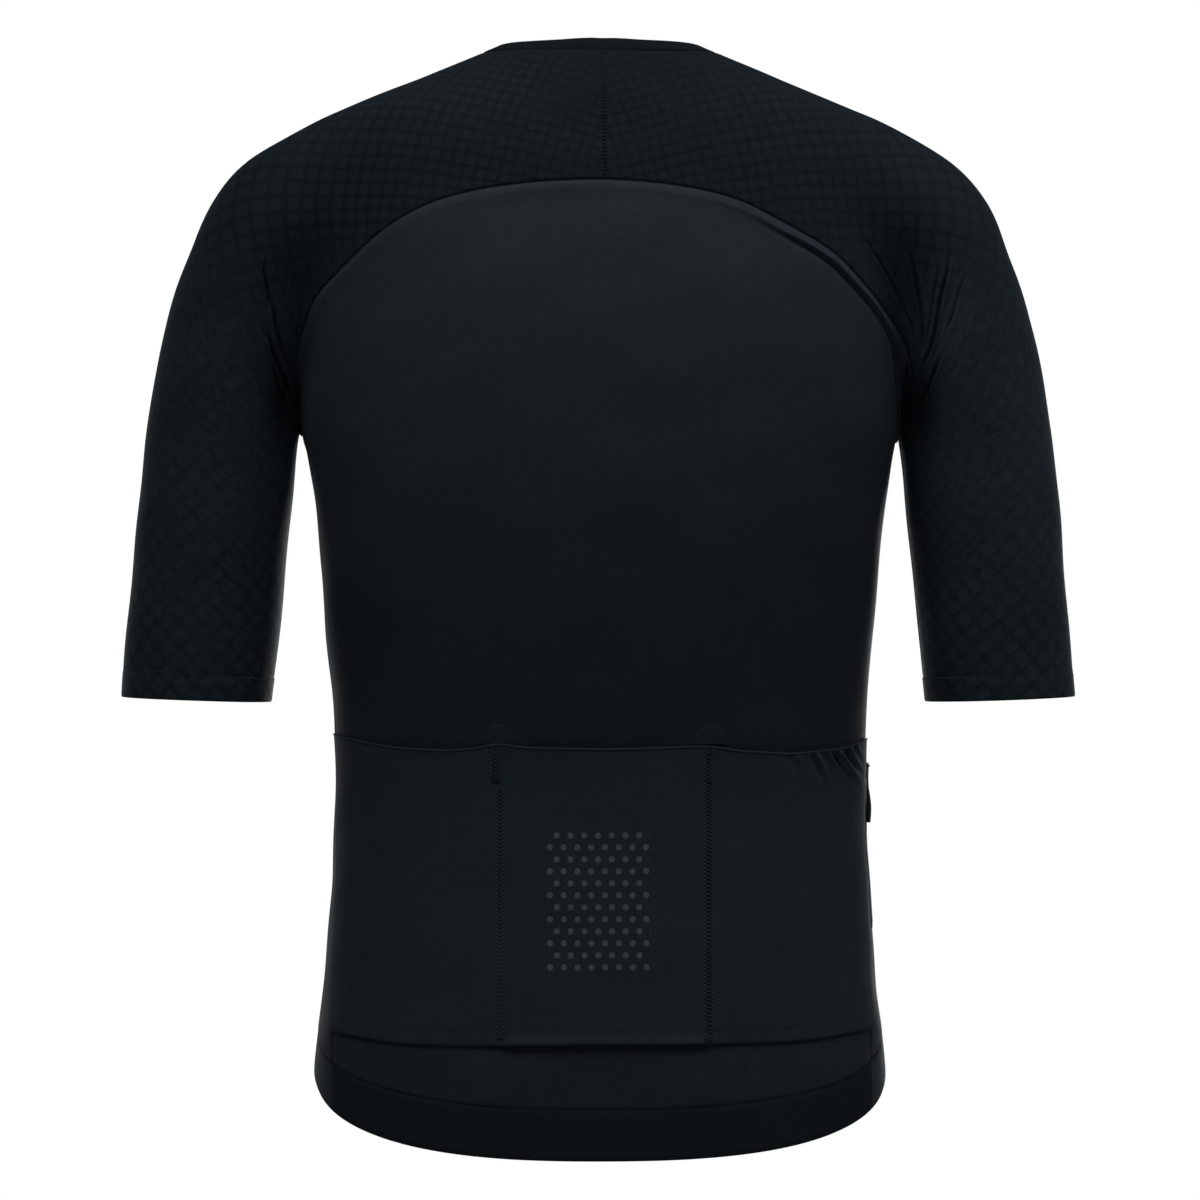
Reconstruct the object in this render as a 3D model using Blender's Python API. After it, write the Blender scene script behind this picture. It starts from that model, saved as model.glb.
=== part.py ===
"""A cycling jersey filled out as it is worn: a smooth back under an arched seam, raglan sleeves that
run on as a yoke to the centre-back seam, three back pockets, a front zip and a gripper hem.

Metres, +Z up, the front towards -Y, the wearer's left towards +X.  The origin is the middle of the
neck opening.  Every panel is a wall on one form: a torso of superellipse sections joined smoothly
to two arms of elliptical sections.  Seam lines are drawn on that form, panels are stretched between
them and settled onto it, and each panel stops half a seam gap short of its seams.
"""
import math

import bpy
import numpy as np

MM = 0.001

# ---------------------------------------------------------------- driving sizes
CLOTH = 1.2 * MM                 # wall of the single cloth
BAND = 1.6 * MM                  # wall of the doubled neck and hem bands
SEAM_GAP = 0.3 * MM              # between neighbours at a seam
LAID_ON = 0.55 * MM              # what lies on a panel starts this far above it
HEM_HEIGHT = -642 * MM           # hem at the sides; it drops towards the back
HEM_DROP = 0.457
HEM_SEAM_HEIGHT = -618 * MM      # seam above the hem band
HEM_SEAM_DROP = 0.39             # drop of that seam over the back
ZIP_HALF = 6 * MM                # the zip edge of each front from the centre line
CUFF_HEIGHT = -411 * MM
CUFF_TILT = math.radians(-2)
UNDERARM = (191.3, -1.0, -241.0)         # where torso and arm part, in mm

# Torso sections, mm: height, half width, depth to the back and to the front, squareness
TORSO = np.array([
    (40, 52, 40, 24, 2.0),
    (20, 56, 43, 28, 2.0),
    (8, 62, 48, 33, 2.0),
    (0, 79.5, 55, 41, 2.05),
    (-14, 113, 66, 52, 2.1),
    (-27, 144.5, 74, 61, 2.15),
    (-40, 165, 81, 68, 2.2),
    (-60, 180, 89, 78, 2.25),
    (-90, 188, 97, 90, 2.3),
    (-120, 190, 104, 100, 2.35),
    (-160, 191, 110, 110, 2.4),
    (-200, 191, 112, 115, 2.4),
    (-239, 190.2, 111, 115, 2.4),
    (-262, 186, 110, 114, 2.4),
    (-284, 182.2, 108, 112, 2.4),
    (-322, 178.5, 103, 108, 2.4),
    (-360, 175.4, 99, 105, 2.4),
    (-420, 170.8, 94, 102, 2.4),
    (-463, 169.3, 93, 101, 2.4),
    (-527, 171.5, 98, 102, 2.4),
    (-580, 175.2, 104, 104, 2.4),
    (-642, 182.1, 110, 105, 2.45),
    (-700, 187, 112, 105, 2.5)])

# Arm sections, mm: height, centre from the middle, half width, half depth, shift to the front
ARM = np.array([
    (-40, 180, 44, 54, 0),
    (-66, 194, 46, 55, 0),
    (-92, 203, 47, 56, 0),
    (-117, 211, 47.5, 57, 0),
    (-155, 223.5, 49, 57, 0),
    (-207, 235.2, 49.3, 57, 1),
    (-239, 240.6, 49, 56, 3),
    (-284, 245.6, 49.1, 55, 5),
    (-322, 249.3, 49, 54, 7),
    (-360, 253, 48.8, 53, 9),
    (-410, 258.3, 47.8, 51, 12),
    (-440, 261.5, 47.5, 50, 14)])
CAP_START = -117                 # the arm sections close above this height, over CAP_RISE
CAP_RISE = 66
ARM_EVEN = 0.97                  # brings the arm's measure of distance close to a true one
BLEND_LOW = (-245, 4 * MM)       # height and width of the smooth joint between arm and torso
BLEND_HIGH = (-100, 38 * MM)

# Seams, mm: x, y, z of the points that a line runs through, from the underarm upwards
ARCH = {
    1: [UNDERARM, (191.4, 12, -233), (192.4, 30.3, -205.3), (192.2, 36.4, -191.1),
        (186.4, 43.8, -172), (179.2, 51.8, -156.2), (162.5, 66.1, -139), (135.5, 79.7, -115.7),
        (108.7, 86.8, -101.4), (77.1, 92.2, -93.1), (34.5, 95.7, -88.3), (0, 96.4, -87)],
    -1: [UNDERARM, (191.4, 12, -233), (193.0, 30.3, -206), (193.4, 37.4, -192.2),
         (187.8, 41.5, -177.5), (176.5, 53.6, -163.1), (160, 69.2, -146), (142.9, 78.5, -130.5),
         (114.8, 87.9, -114.5), (82.1, 92.7, -98.9), (39.8, 95.8, -90), (0, 96.4, -87)]}
RAGLAN = [UNDERARM, (192, -20, -228), (191, -40, -196), (178, -60, -160), (154, -76, -130),
          (122, -82, -98), (92, -76, -62), (66, -52, -22)]
NECK_BACK = [(0, 56.5, -1.8), (30, 53, -0.6), (55, 41, 1.2), (71, 21, 2.2), (77, 0, 1.6),
             (76, -26, -6), (66, -52, -22)]
NECK_FRONT = [(66, -52, -22), (48, -66, -38), (27, -75, -52), (6, -78.5, -60)]
NECK_TOP = [(0, 49.3, 6.3), (27, 46, 6.5), (47, 35, 6.8), (60, 18, 6.8), (64.5, 0, 6.0),
            (65, -20, 0), (56, -42, -13), (41, -56, -27), (23, -66, -41), (6, -69.5, -48.5)]
SHOULDER_ARCS = [                # shares of the seams, ridge x and z, lean of the centre
    (0.36, 148, -28, 0.0),
    (0.70, 236, -78, 0.3)]
UNDERARM_RING = (278.5, -177)    # x and z of its outermost point

# Side seam, mm: height, distance behind the middle
SIDE_SEAM = np.array([
    (-241, 0), (-300, 1), (-360, 6), (-434, 18), (-480, 23), (-530, 30), (-588, 40), (-630, 50),
    (-680, 58)])

# Folds drawn to the underarm, mm: start, middle and end of each line, half width, depth
FOLDS = {
    1: [((212, 55, -134), (206, 50, -184), (200, 36, -228), 7.5, 4.6),
        ((228, 56, -160), (219, 54, -198), (206, 38, -232), 7.0, 3.4),
        ((178, 63, -146), (184, 57, -170), (188, 44, -200), 6.5, 2.6)],
    -1: [((164, 68, -122), (184, 55, -150), (198, 43, -190), 6.5, 3.4),
         ((192, 56, -122), (204, 51, -160), (203, 43, -206), 7.5, 4.8),
         ((228, 56, -130), (222, 56, -172), (209, 43, -216), 7.0, 4.0)]}
FOLD_CLEAR = 8 * MM

# Back pockets, mm: x and height of the points of the edge
POCKET_TOP = np.array([
    (-172, -435), (-150, -441), (-120, -443.5), (-91, -441.5), (-66, -437.5), (-33, -439.5),
    (0, -440), (33, -439.5), (66, -437.5), (102, -441), (127, -440), (150, -436.5), (172, -432)])
POCKET_BOTTOM = np.array([
    (-172, -617.5), (-141, -620.7), (-116, -621.8), (0, -621.6), (124, -623), (147, -621.5),
    (172, -618)])
DIVIDER_X = 66 * MM
POCKET_SLACK = 2.2 * MM          # how far a pocket's open edge stands off between dividers
# Gathers in the edge of the pocket on the wearer's right, mm: x at the edge, length, height
GATHERS = [(-117, 14, 1.5), (-125, 22, 1.9), (-133, 26, 1.7), (-143, 20, 1.9), (-152, 13, 1.5)]
GATHER_HALF = 2.6 * MM
GATHER_FAN = 0.75                # sideways drift of a gather for each unit down
TACK_RADIUS = 10.2 * MM          # half-round patch above each divider
TACK_STAND = 1.3                 # its height over that radius
TACK_HEIGHT = -437.1 * MM
TACK_WALL = 1.0 * MM

# Grid counts
ARCH_STEPS = 14
CENTRE_BACK_STEPS = 6
NECK_BACK_STEPS = 22
NECK_FRONT_STEPS = 6
PANEL_ROWS = 15
TUBE_ROWS = 8
POCKET_ROWS = (0, 0.055, 0.12, 0.27, 0.48, 0.74, 1)       # shares of the way down

# Zips
ZIP_WALL = 1.1 * MM
ZIP_LAID_ON = 0.4 * MM
FRONT_SLIDER_HEIGHT = -60 * MM
POCKET_ZIP_FROM = (8, -446)      # mm: distance behind the middle, height
POCKET_ZIP_TO = (16, -556)
POCKET_ZIP_HALF = 4.5 * MM
POCKET_SLIDER_SHARE = 0.09       # of the way down the pocket's zip
BEVEL = 0.25 * MM
SLIDER_WALL = 1.8 * MM
PULL_WALL = 1.1 * MM
# Outlines, mm: distance up the cloth, half width
SLIDER_OUTLINE = [(-5.2, 1.8), (-4.2, 2.7), (-1.0, 3.0), (2.6, 3.9), (4.6, 3.9), (5.2, 3.0)]
PULL_OUTLINE = [(-25.0, 1.6), (-24.2, 2.4), (-22.5, 2.7), (-8.0, 2.6), (-3.4, 2.3), (-2.0, 1.4),
                (0.5, 1.2)]
POCKET_PULL_LONGER = 8                   # mm; the three lowest rows go down by this
EAR = (0.8 * MM, 1.1 * MM, 0.65 * MM)    # width, half length, rise above the hinge
HINGE_UP = 2.8 * MM                      # hinge from the middle of the slider


# ---------------------------------------------------------------- the form
def hermite(levels, values, at):
    """A cubic Hermite curve through values at rising levels; slopes come from the neighbours."""
    rise = np.gradient(values, levels, axis=0)
    at = np.clip(at, levels[0], levels[-1])
    below = np.clip(np.searchsorted(levels, at, side="right") - 1, 0, len(levels) - 2)
    extra = (...,) + (None,) * (values.ndim - 1)
    span = (levels[below + 1] - levels[below])[extra]
    t = (at - levels[below])[extra] / span
    start = (2 * t**3 - 3 * t**2 + 1) * values[below] + (t**3 - 2 * t**2 + t) * span * rise[below]
    end = (3 * t**2 - 2 * t**3) * values[below + 1] + (t**3 - t**2) * span * rise[below + 1]
    return start + end


def table_at(rows, height):
    """Columns of a table whose rows run down from the highest."""
    return hermite(rows[::-1, 0], rows[::-1, 1:], height)


def torso_distance(p):
    """Superellipse section: its level value over the length of its slope."""
    x, y, z = np.moveaxis(p, -1, 0)
    half, back, front, power = np.moveaxis(table_at(TORSO, z / MM), -1, 0)
    depth = np.where(y > 0, back, front) * MM
    half = half * MM
    u = np.abs(x) / half
    v = np.abs(y) / depth
    level = np.maximum((u**power + v**power) ** (1 / power), 1e-6)
    slope = np.hypot(u ** (power - 1) / half, v ** (power - 1) / depth) * level ** (1 - power)
    return (level - 1) / np.maximum(slope, 1.0)


def arm_distance(p):
    """Elliptical section, closed over the shoulder by a round cap."""
    x, y, z = np.moveaxis(p, -1, 0) / MM
    centre, half, depth, forward = np.moveaxis(table_at(ARM, z), -1, 0)
    cap = np.maximum(z - CAP_START, 0) / CAP_RISE
    level = np.sqrt(((np.abs(x) - centre) / half)**2 + ((y + forward) / depth)**2 + cap**2)
    return (level - 1) * np.sqrt(half * depth) * MM * ARM_EVEN


def distance(p):
    """Smooth union of torso and arms: the smaller distance, less a round where they are close."""
    torso = torso_distance(p)
    arm = arm_distance(p)
    t = np.clip((p[..., 2] / MM - BLEND_LOW[0]) / (BLEND_HIGH[0] - BLEND_LOW[0]), 0, 1)
    width = BLEND_LOW[1] + (BLEND_HIGH[1] - BLEND_LOW[1]) * t * t * (3 - 2 * t)
    near = np.clip(width - np.abs(torso - arm), 0, None) / width
    return np.minimum(torso, arm) - near * near * width / 4


def uphill(p, step=0.1 * MM):
    """Slope of the distance, by differences along each axis."""
    slope = np.empty_like(p)
    for axis in range(3):
        shift = np.zeros(3)
        shift[axis] = step
        slope[..., axis] = (distance(p + shift) - distance(p - shift)) / (2 * step)
    return slope


def unit(v):
    return v / np.maximum(np.linalg.norm(v, axis=-1, keepdims=True), 1e-12)


def settle(p, rounds=14):
    """Carry points onto the form by Newton steps along the slope."""
    p = np.array(p, dtype=float)
    for _ in range(rounds):
        slope = uphill(p)
        step = distance(p) / np.maximum((slope * slope).sum(-1), 1e-9)
        p -= np.clip(step, -20 * MM, 20 * MM)[..., None] * slope
    return p


def cast(start, toward, reach, samples=240):
    """Where rays from inside first leave the form: a march, then halving the last step."""
    toward = unit(np.asarray(toward, dtype=float))
    start = np.broadcast_to(start, toward.shape)
    far = np.linspace(0, reach, samples)
    outside = distance(start[..., None, :] + far[:, None] * toward[..., None, :]) > 0
    first = np.maximum(outside.argmax(-1), 1)
    low = far[first - 1]
    high = far[first]
    for _ in range(30):
        middle = (low + high) / 2
        out = distance(start + middle[..., None] * toward) > 0
        high = np.where(out, middle, high)
        low = np.where(out, low, middle)
    return start + ((low + high) / 2)[..., None] * toward


# ---------------------------------------------------------------- lines and patches
def along(points, shares):
    """Points at shares of the length of a polyline."""
    points = np.asarray(points, dtype=float)
    steps = np.linalg.norm(np.diff(points, axis=0), axis=1)
    length = np.concatenate([[0], np.cumsum(steps)])
    length /= length[-1]
    return np.stack([np.interp(shares, length, points[:, axis]) for axis in range(3)], -1)


def curve(points_mm, shares, side=1):
    """A Catmull-Rom curve through points in mm, sampled by length and settled on the form."""
    points = np.asarray(points_mm, dtype=float) * MM * (side, 1, 1)
    padded = np.concatenate([[2 * points[0] - points[1]], points, [2 * points[-1] - points[-2]]])
    t = np.linspace(0, 1, 13)[:-1, None]
    runs = []
    for a, b, c, d in zip(padded[:-3], padded[1:-2], padded[2:-1], padded[3:]):
        runs.append(b + 0.5 * t * (c - a + t * (2*a - 5*b + 4*c - d + t * (3*(b - c) + d - a))))
    runs.append(points[-1:])
    return settle(along(settle(np.concatenate(runs)), shares))


def patch(top, bottom, first, last):
    """Coons patch: rows run from top to bottom, columns from first to last, then settled."""
    u = np.linspace(0, 1, len(top))[None, :, None]
    v = np.linspace(0, 1, len(first))[:, None, None]
    ruled = (1 - v) * top + v * bottom
    ruled += (1 - u) * (first[:, None] - ruled[:, :1]) + u * (last[:, None] - ruled[:, -1:])
    grid = settle(ruled)
    grid[0], grid[-1], grid[:, 0], grid[:, -1] = top, bottom, first, last
    return grid


def hold_back(grid, edges, amount=SEAM_GAP / 2):
    """Move the named edges of a grid inwards, square to the edge and along the form."""
    grid = grid.copy()
    move = np.zeros_like(grid)
    for edge in edges:
        rows = {"top": (0, 1), "bottom": (-1, -2)}.get(edge)
        cols = {"first": (0, 1), "last": (-1, -2)}.get(edge)
        line = grid[rows[0]] if rows else grid[:, cols[0]]
        inner = grid[rows[1]] if rows else grid[:, cols[1]]
        tangent = unit(np.gradient(line, axis=0))
        inward = inner - line
        inward = unit(inward - (inward * tangent).sum(-1, keepdims=True) * tangent)
        if rows:
            move[rows[0]] += amount * inward
        else:
            move[:, cols[0]] += amount * inward
    return grid + move


def fold_depth(p, side):
    """Troughs along the fold lines: a bell across the line that dies away towards its ends and
    within FOLD_CLEAR of the arched seam."""
    seam = along(arch(side), even(80))
    off_seam = np.linalg.norm(p[..., None, :] - seam, axis=-1).min(-1)
    depth = np.zeros(p.shape[:-1])
    for start, middle, end, half, deep in FOLDS[side]:
        line = np.array([start, middle, end], dtype=float) * MM * (side, 1, 1)
        t = np.linspace(0, 1, 15)[:, None]
        route = (1 - t)**2 * line[0] + 2 * t * (1 - t) * (2 * line[1] - line[[0, 2]].mean(0))
        route = route + t**2 * line[2]
        away = np.linalg.norm(p[..., None, :] - route, axis=-1)
        place = away.argmin(-1) / (len(route) - 1)
        swell = np.sin(np.pi * np.clip(0.12 + 0.8 * place, 0, 1))
        depth += deep * MM * swell * np.exp(-(away.min(-1) / (half * MM))**2)
    return depth * np.clip(off_seam / FOLD_CLEAR, 0, 1)


# ---------------------------------------------------------------- seams of this jersey
def arch_shares():
    """Closer together near the underarm."""
    t = np.linspace(0, 1, ARCH_STEPS + 1)
    return 0.65 * t + 0.35 * t * t


def even(steps):
    return np.linspace(0, 1, steps + 1)


def arch(side):
    return curve(ARCH[side], arch_shares(), side)


def raglan(side):
    return curve(RAGLAN, arch_shares(), side)


def neck_back(side):
    return curve(NECK_BACK, even(NECK_BACK_STEPS), side)


def neck_front(side):
    return curve(NECK_FRONT, even(NECK_FRONT_STEPS), side)


def neck_top(side):
    """Top edge of the neck band, with as many points over the back and the front as the seam."""
    shares = np.concatenate([0.64 * even(NECK_BACK_STEPS),
                             0.64 + 0.36 * even(NECK_FRONT_STEPS)[1:]])
    return curve(NECK_TOP, shares, side)


def side_height(steps, bottom):
    return np.linspace(UNDERARM[2] * MM, bottom, steps + 1)


def seam_depth(height):
    return table_at(SIDE_SEAM, height / MM)[..., 0] * MM


def side_points(heights, side):
    """Points of the side seam: rays straight out at the seam's distance behind the middle."""
    start = np.stack([0 * heights + side * 120 * MM, seam_depth(heights), heights], -1)
    points = cast(start, np.broadcast_to((side, 0.0, 0.0), start.shape), 90 * MM)
    points[0] = settle(np.array(UNDERARM) * MM * (side, 1, 1))
    return points


def level_ring(height, drop, angles):
    """Where a plane that drops towards the back meets the form; angles are from the left side."""
    way = np.stack([np.cos(angles), np.sin(angles), -drop * np.sin(angles)], -1)
    return cast(np.array((0.0, 0.0, height)), way, 260 * MM)


def seam_angle(height, drop):
    """Angle at which the side seam meets such a plane, found by going round a few times."""
    depth = 40 * MM
    for _ in range(12):
        level = height - drop * depth
        depth = seam_depth(np.array(level))
    point = side_points(np.array([0, level]), 1)[1]
    return math.atan2(point[1], point[0])


def spread(angles_from, angles_to, steps):
    """Angles that give even steps round an oval about 1.6 times as wide as deep."""
    squash = 1.6
    flat = np.unwrap(np.arctan2(np.sin([angles_from, angles_to]) * squash,
                                np.cos([angles_from, angles_to])))
    t = np.linspace(flat[0], flat[1], steps + 1)
    return np.unwrap(np.arctan2(np.sin(t) / squash, np.cos(t)))


def hem_lines(steps, side=0):
    """Seam above the band and lower edge, over the back (0) or one front (its side)."""
    lines = []
    for height, back_drop in ((HEM_SEAM_HEIGHT, HEM_SEAM_DROP), (HEM_HEIGHT, HEM_DROP)):
        start = seam_angle(height, back_drop)
        if side == 0:
            lines.append(level_ring(height, back_drop, spread(start, math.pi - start, steps)))
            continue
        stop = -math.pi / 2 + math.asin(ZIP_HALF / (100 * MM))
        angles = spread(start, stop, steps)
        drop = np.where(angles > 0, back_drop, HEM_DROP)
        way = np.stack([side * np.cos(angles), np.sin(angles), -drop * np.sin(angles)], -1)
        line = cast(np.array((0.0, 0.0, height)), way, 260 * MM)
        line[-1, 0] = side * ZIP_HALF
        lines.append(line)
    return lines


def shoulder_arc(back, front, ridge, lean, shares):
    """A line over the shoulder: rays from a centre, in the plane of the ridge point and the y
    axis, swept from the back seam over the ridge to the front seam."""
    middle = (back + front) / 2
    centre = middle + lean * (ridge - middle)
    up = unit(ridge - centre)
    across = unit(np.array((0, 1.0, 0)) - up[1] * up)
    begin = math.atan2((back - centre) @ across, (back - centre) @ up)
    finish = math.atan2((front - centre) @ across, (front - centre) @ up)
    if np.allclose(back, front):
        begin, finish = math.pi, -math.pi
    angle = np.linspace(begin, finish, 97)[:, None]
    line = cast(centre, np.cos(angle) * up + np.sin(angle) * across, 130 * MM)
    line[0], line[-1] = back, front
    return along(line, shares)


def sleeve_shares():
    """Round the arm from the back seam: close together over the folds, then wider."""
    steps = np.concatenate([np.full(11, 0.5), np.linspace(0.6, 1.15, 6),
                            np.full(CENTRE_BACK_STEPS + NECK_BACK_STEPS - 17, 1.2)])
    total = np.concatenate([[0], np.cumsum(steps)])
    return total / total[-1]


def sleeve_rows(side):
    """Rows from the neck over the shoulder to the ring through the underarm, then to the cuff."""
    back = arch(side)[::-1]
    front = raglan(side)[::-1]
    shares = sleeve_shares()
    collar = neck_back(side)
    centre = settle(along([back[0], (0, 74 * MM, -40 * MM), collar[0]], even(24)))
    centre[:, 0] = 0
    centre = along(centre, even(CENTRE_BACK_STEPS))
    first = np.concatenate([centre[:-1], collar])
    guides = [first]
    places = [0.0]
    for share, x, z, lean in SHOULDER_ARCS:
        start = at_row(back, share)
        stop = at_row(front, share)
        ridge = settle(np.array((side * x, 0, z)) * MM)
        guides.append(shoulder_arc(start, stop, ridge, lean, shares))
        places.append(share)
    outer = settle(np.array((side * UNDERARM_RING[0], -1.0, UNDERARM_RING[1])) * MM)
    guides.append(shoulder_arc(back[-1], back[-1], outer, 0.5, shares))
    places.append(1.0)
    shares_down = even(ARCH_STEPS)
    rows = hermite(np.array(places), np.array(guides), shares_down)
    u = np.linspace(0, 1, len(first))[:, None]
    rows += (1 - u) * (back - rows[:, 0])[:, None] + u * (front - rows[:, -1])[:, None]
    rows = settle(rows)
    rows[:, 0], rows[:, -1] = back, front
    rows[0] = first
    tube = [arm_ring(side, t, shares) for t in np.linspace(0, 1, TUBE_ROWS + 1)[1:]]
    return np.concatenate([rows, tube])


def at_row(line, share):
    """The point at a share of a line's rows."""
    row = share * (len(line) - 1)
    return np.array([np.interp(row, np.arange(len(line)), line[:, axis]) for axis in range(3)])


def arm_ring(side, t, shares):
    """A ring round the arm, t from the underarm ring (0) to the cuff (1)."""
    underarm = np.array(UNDERARM) * MM
    outer = np.array((UNDERARM_RING[0], -1.0, UNDERARM_RING[1])) * MM
    start = (underarm + outer) / 2
    stop = np.array((258.3, -12.0, CUFF_HEIGHT / MM)) * MM
    centre = (1 - t) * start + t * stop
    centre[0] = table_at(ARM, np.array(centre[2] / MM))[0] * MM
    tilt = (1 - t) * math.atan2(*(outer - underarm)[[2, 0]]) - t * CUFF_TILT
    up = np.array((math.cos(tilt), 0, math.sin(tilt)))
    angle = np.linspace(math.pi, -math.pi, 97)[:, None]
    way = np.cos(angle) * up + np.sin(angle) * np.array((0, 1.0, 0))
    line = cast(centre, way, 75 * MM)
    return along(line, shares) * (side, 1, 1)


# ---------------------------------------------------------------- solids
def material(name, colour, roughness, metallic=0.0):
    surface = bpy.data.materials.new(name)
    surface.use_nodes = True
    shader = surface.node_tree.nodes["Principled BSDF"]
    shader.inputs["Base Color"].default_value = (*colour, 1)
    shader.inputs["Roughness"].default_value = roughness
    shader.inputs["Metallic"].default_value = metallic
    return surface


def add_object(name, points, faces, surface, origin=(0, 0, 0)):
    mesh = bpy.data.meshes.new(name)
    mesh.from_pydata((points - origin).tolist(), [], faces.tolist())
    mesh.materials.append(surface)
    mesh.validate()
    mesh.shade_smooth()
    mesh.set_sharp_from_angle(angle=math.radians(50))
    item = bpy.data.objects.new(name, mesh)
    item.location = origin
    bpy.context.scene.collection.objects.link(item)
    return item


def sheet_faces(index, points):
    """Triangles of an index grid; each cell is split along its shorter diagonal."""
    a, b, c, d = index[:-1, :-1], index[:-1, 1:], index[1:, 1:], index[1:, :-1]
    across = np.linalg.norm(points[a] - points[c], axis=-1)
    down = np.linalg.norm(points[b] - points[d], axis=-1)
    short = (across <= down)[..., None]
    one = np.where(short, np.stack([a, b, c], -1), np.stack([a, b, d], -1))
    two = np.where(short, np.stack([a, c, d], -1), np.stack([b, c, d], -1))
    return np.concatenate([one.reshape(-1, 3), two.reshape(-1, 3)])


def facing_out(points, faces):
    """The faces, turned round if the volume they close comes out negative."""
    a, b, c = np.moveaxis(points[faces], 1, 0)
    return faces if (np.cross(a, b) * c).sum() > 0 else faces[:, ::-1]


def wall(name, outer, inner, surface, closed_from=None):
    """A closed solid between two grids of points; columns are joined from the row closed_from."""
    count = outer.shape[0] * outer.shape[1]
    index = np.arange(count).reshape(outer.shape[:2])
    if closed_from is not None:
        index[closed_from:, -1] = index[closed_from:, 0]
    points = np.concatenate([outer.reshape(-1, 3), inner.reshape(-1, 3)])
    outside = sheet_faces(index, points)
    inside = outside[:, ::-1] + count
    edges = np.concatenate([outside[:, [0, 1]], outside[:, [1, 2]], outside[:, [2, 0]]])
    key = edges[:, 0].astype(np.int64) * count + edges[:, 1]
    back = edges[:, 1].astype(np.int64) * count + edges[:, 0]
    rim = edges[~np.isin(key, back)]
    rim_one = np.stack([rim[:, 1], rim[:, 0], rim[:, 0] + count], -1)
    rim_two = np.stack([rim[:, 1], rim[:, 0] + count, rim[:, 1] + count], -1)
    faces = np.concatenate([outside, inside, rim_one, rim_two])
    used, renumbered = np.unique(facing_out(points, faces), return_inverse=True)
    return add_object(name, points[used], renumbered.reshape(faces.shape), surface)


def grid_normals(grid, closed_from=None):
    """The form's own normals, or where a panel turns away from them, in the valley under the arm
    and in folds, normals from the differences along its rows and columns."""
    down = np.gradient(grid, axis=0, edge_order=2)
    across = np.gradient(grid, axis=1, edge_order=2)
    if closed_from is not None:
        ring = grid[closed_from:, :-1]
        around = (np.roll(ring, -1, axis=1) - np.roll(ring, 1, axis=1)) / 2
        across[closed_from:, :-1] = around
        across[closed_from:, -1] = around[:, 0]
    normal = unit(np.cross(across, down))
    true = unit(uphill(grid))
    normal *= np.sign((normal * true).sum())
    agree = np.clip(((normal * true).sum(-1, keepdims=True) - 0.75) / 0.2, 0, 1)
    return unit(agree * true + (1 - agree) * normal)


def cloth(name, grid, surface, edges=(), thickness=CLOTH, relief=0.0, lift=0.0, closed_from=None):
    """A wall whose outside lies on the form, lowered by its relief or lifted off."""
    grid = hold_back(grid, edges)
    height = np.broadcast_to(lift - relief, grid.shape[:2])[..., None]
    outer = grid + height * grid_normals(grid, closed_from)
    inner = outer - thickness * grid_normals(outer, closed_from)
    return wall(name, outer, inner, surface, closed_from)


def build_back(surface):
    top = np.concatenate([arch(1), arch(-1)[::-1][1:]])
    bottom = hem_lines(2 * ARCH_STEPS)[0]
    left = side_points(side_height(PANEL_ROWS, bottom[0, 2]), 1)
    right = side_points(side_height(PANEL_ROWS, bottom[-1, 2]), -1)
    left[-1], right[-1] = bottom[0], bottom[-1]
    left[0], right[0] = top[0], top[-1]
    grid = patch(top, bottom, left, right)
    relief = fold_depth(grid, 1) + fold_depth(grid, -1)
    cloth("back_panel", grid, surface, ("top", "bottom", "first", "last"), relief=relief)


def build_front(side, surface):
    top = np.concatenate([raglan(side), neck_front(side)[1:]])
    top[-1, 0] = side * ZIP_HALF
    bottom = hem_lines(ARCH_STEPS + NECK_FRONT_STEPS, side)[0]
    bottom[-1, 0] = side * ZIP_HALF
    outer = side_points(side_height(PANEL_ROWS, bottom[0, 2]), side)
    outer[0], outer[-1] = top[0], bottom[0]
    heights = np.linspace(top[-1, 2], bottom[-1, 2], PANEL_ROWS + 1)
    centre = zip_line(heights, side * ZIP_HALF)
    centre[0], centre[-1] = top[-1], bottom[-1]
    grid = patch(top, bottom, outer, centre)
    name = "front_left" if side > 0 else "front_right"
    cloth(name, grid, surface, ("top", "bottom", "first", "last"))


def zip_line(heights, x):
    """Points on the front at one x and the given heights: rays straight forward."""
    start = np.stack([0 * heights + x, 0 * heights, heights], -1)
    return cast(start, np.broadcast_to((0.0, -1.0, 0.0), start.shape), 150 * MM)


def build_sleeve(side, surface):
    rows = sleeve_rows(side)
    seam = rows[:ARCH_STEPS + 1]
    held = hold_back(seam, ("top", "first", "last"))
    under = held[-1, 0] * 0 + (rows[ARCH_STEPS + 1, 0] - rows[ARCH_STEPS, 0])
    held[-1, 0] = rows[ARCH_STEPS, 0] + SEAM_GAP * unit(under)
    held[-1, -1] = held[-1, 0]
    grid = np.concatenate([held, rows[ARCH_STEPS + 1:]])
    name = "sleeve_left" if side > 0 else "sleeve_right"
    cloth(name, grid, surface, relief=fold_depth(grid, side), closed_from=ARCH_STEPS)


def build_collar(surface):
    seam_half = np.concatenate([neck_back(1), neck_front(1)[1:]])
    top_half = neck_top(1)
    for line in (seam_half, top_half):
        line[0, 0] = 0
        line[-1, 0] = ZIP_HALF
    mirror = np.array((-1, 1, 1))
    seam = np.concatenate([seam_half[::-1], seam_half[1:] * mirror])
    top = np.concatenate([top_half[::-1], top_half[1:] * mirror])
    middle = settle((seam + top) / 2)
    grid = np.stack([top, middle, seam])
    cloth("neck_band", grid, surface, ("bottom", "first", "last"), thickness=BAND)


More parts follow.
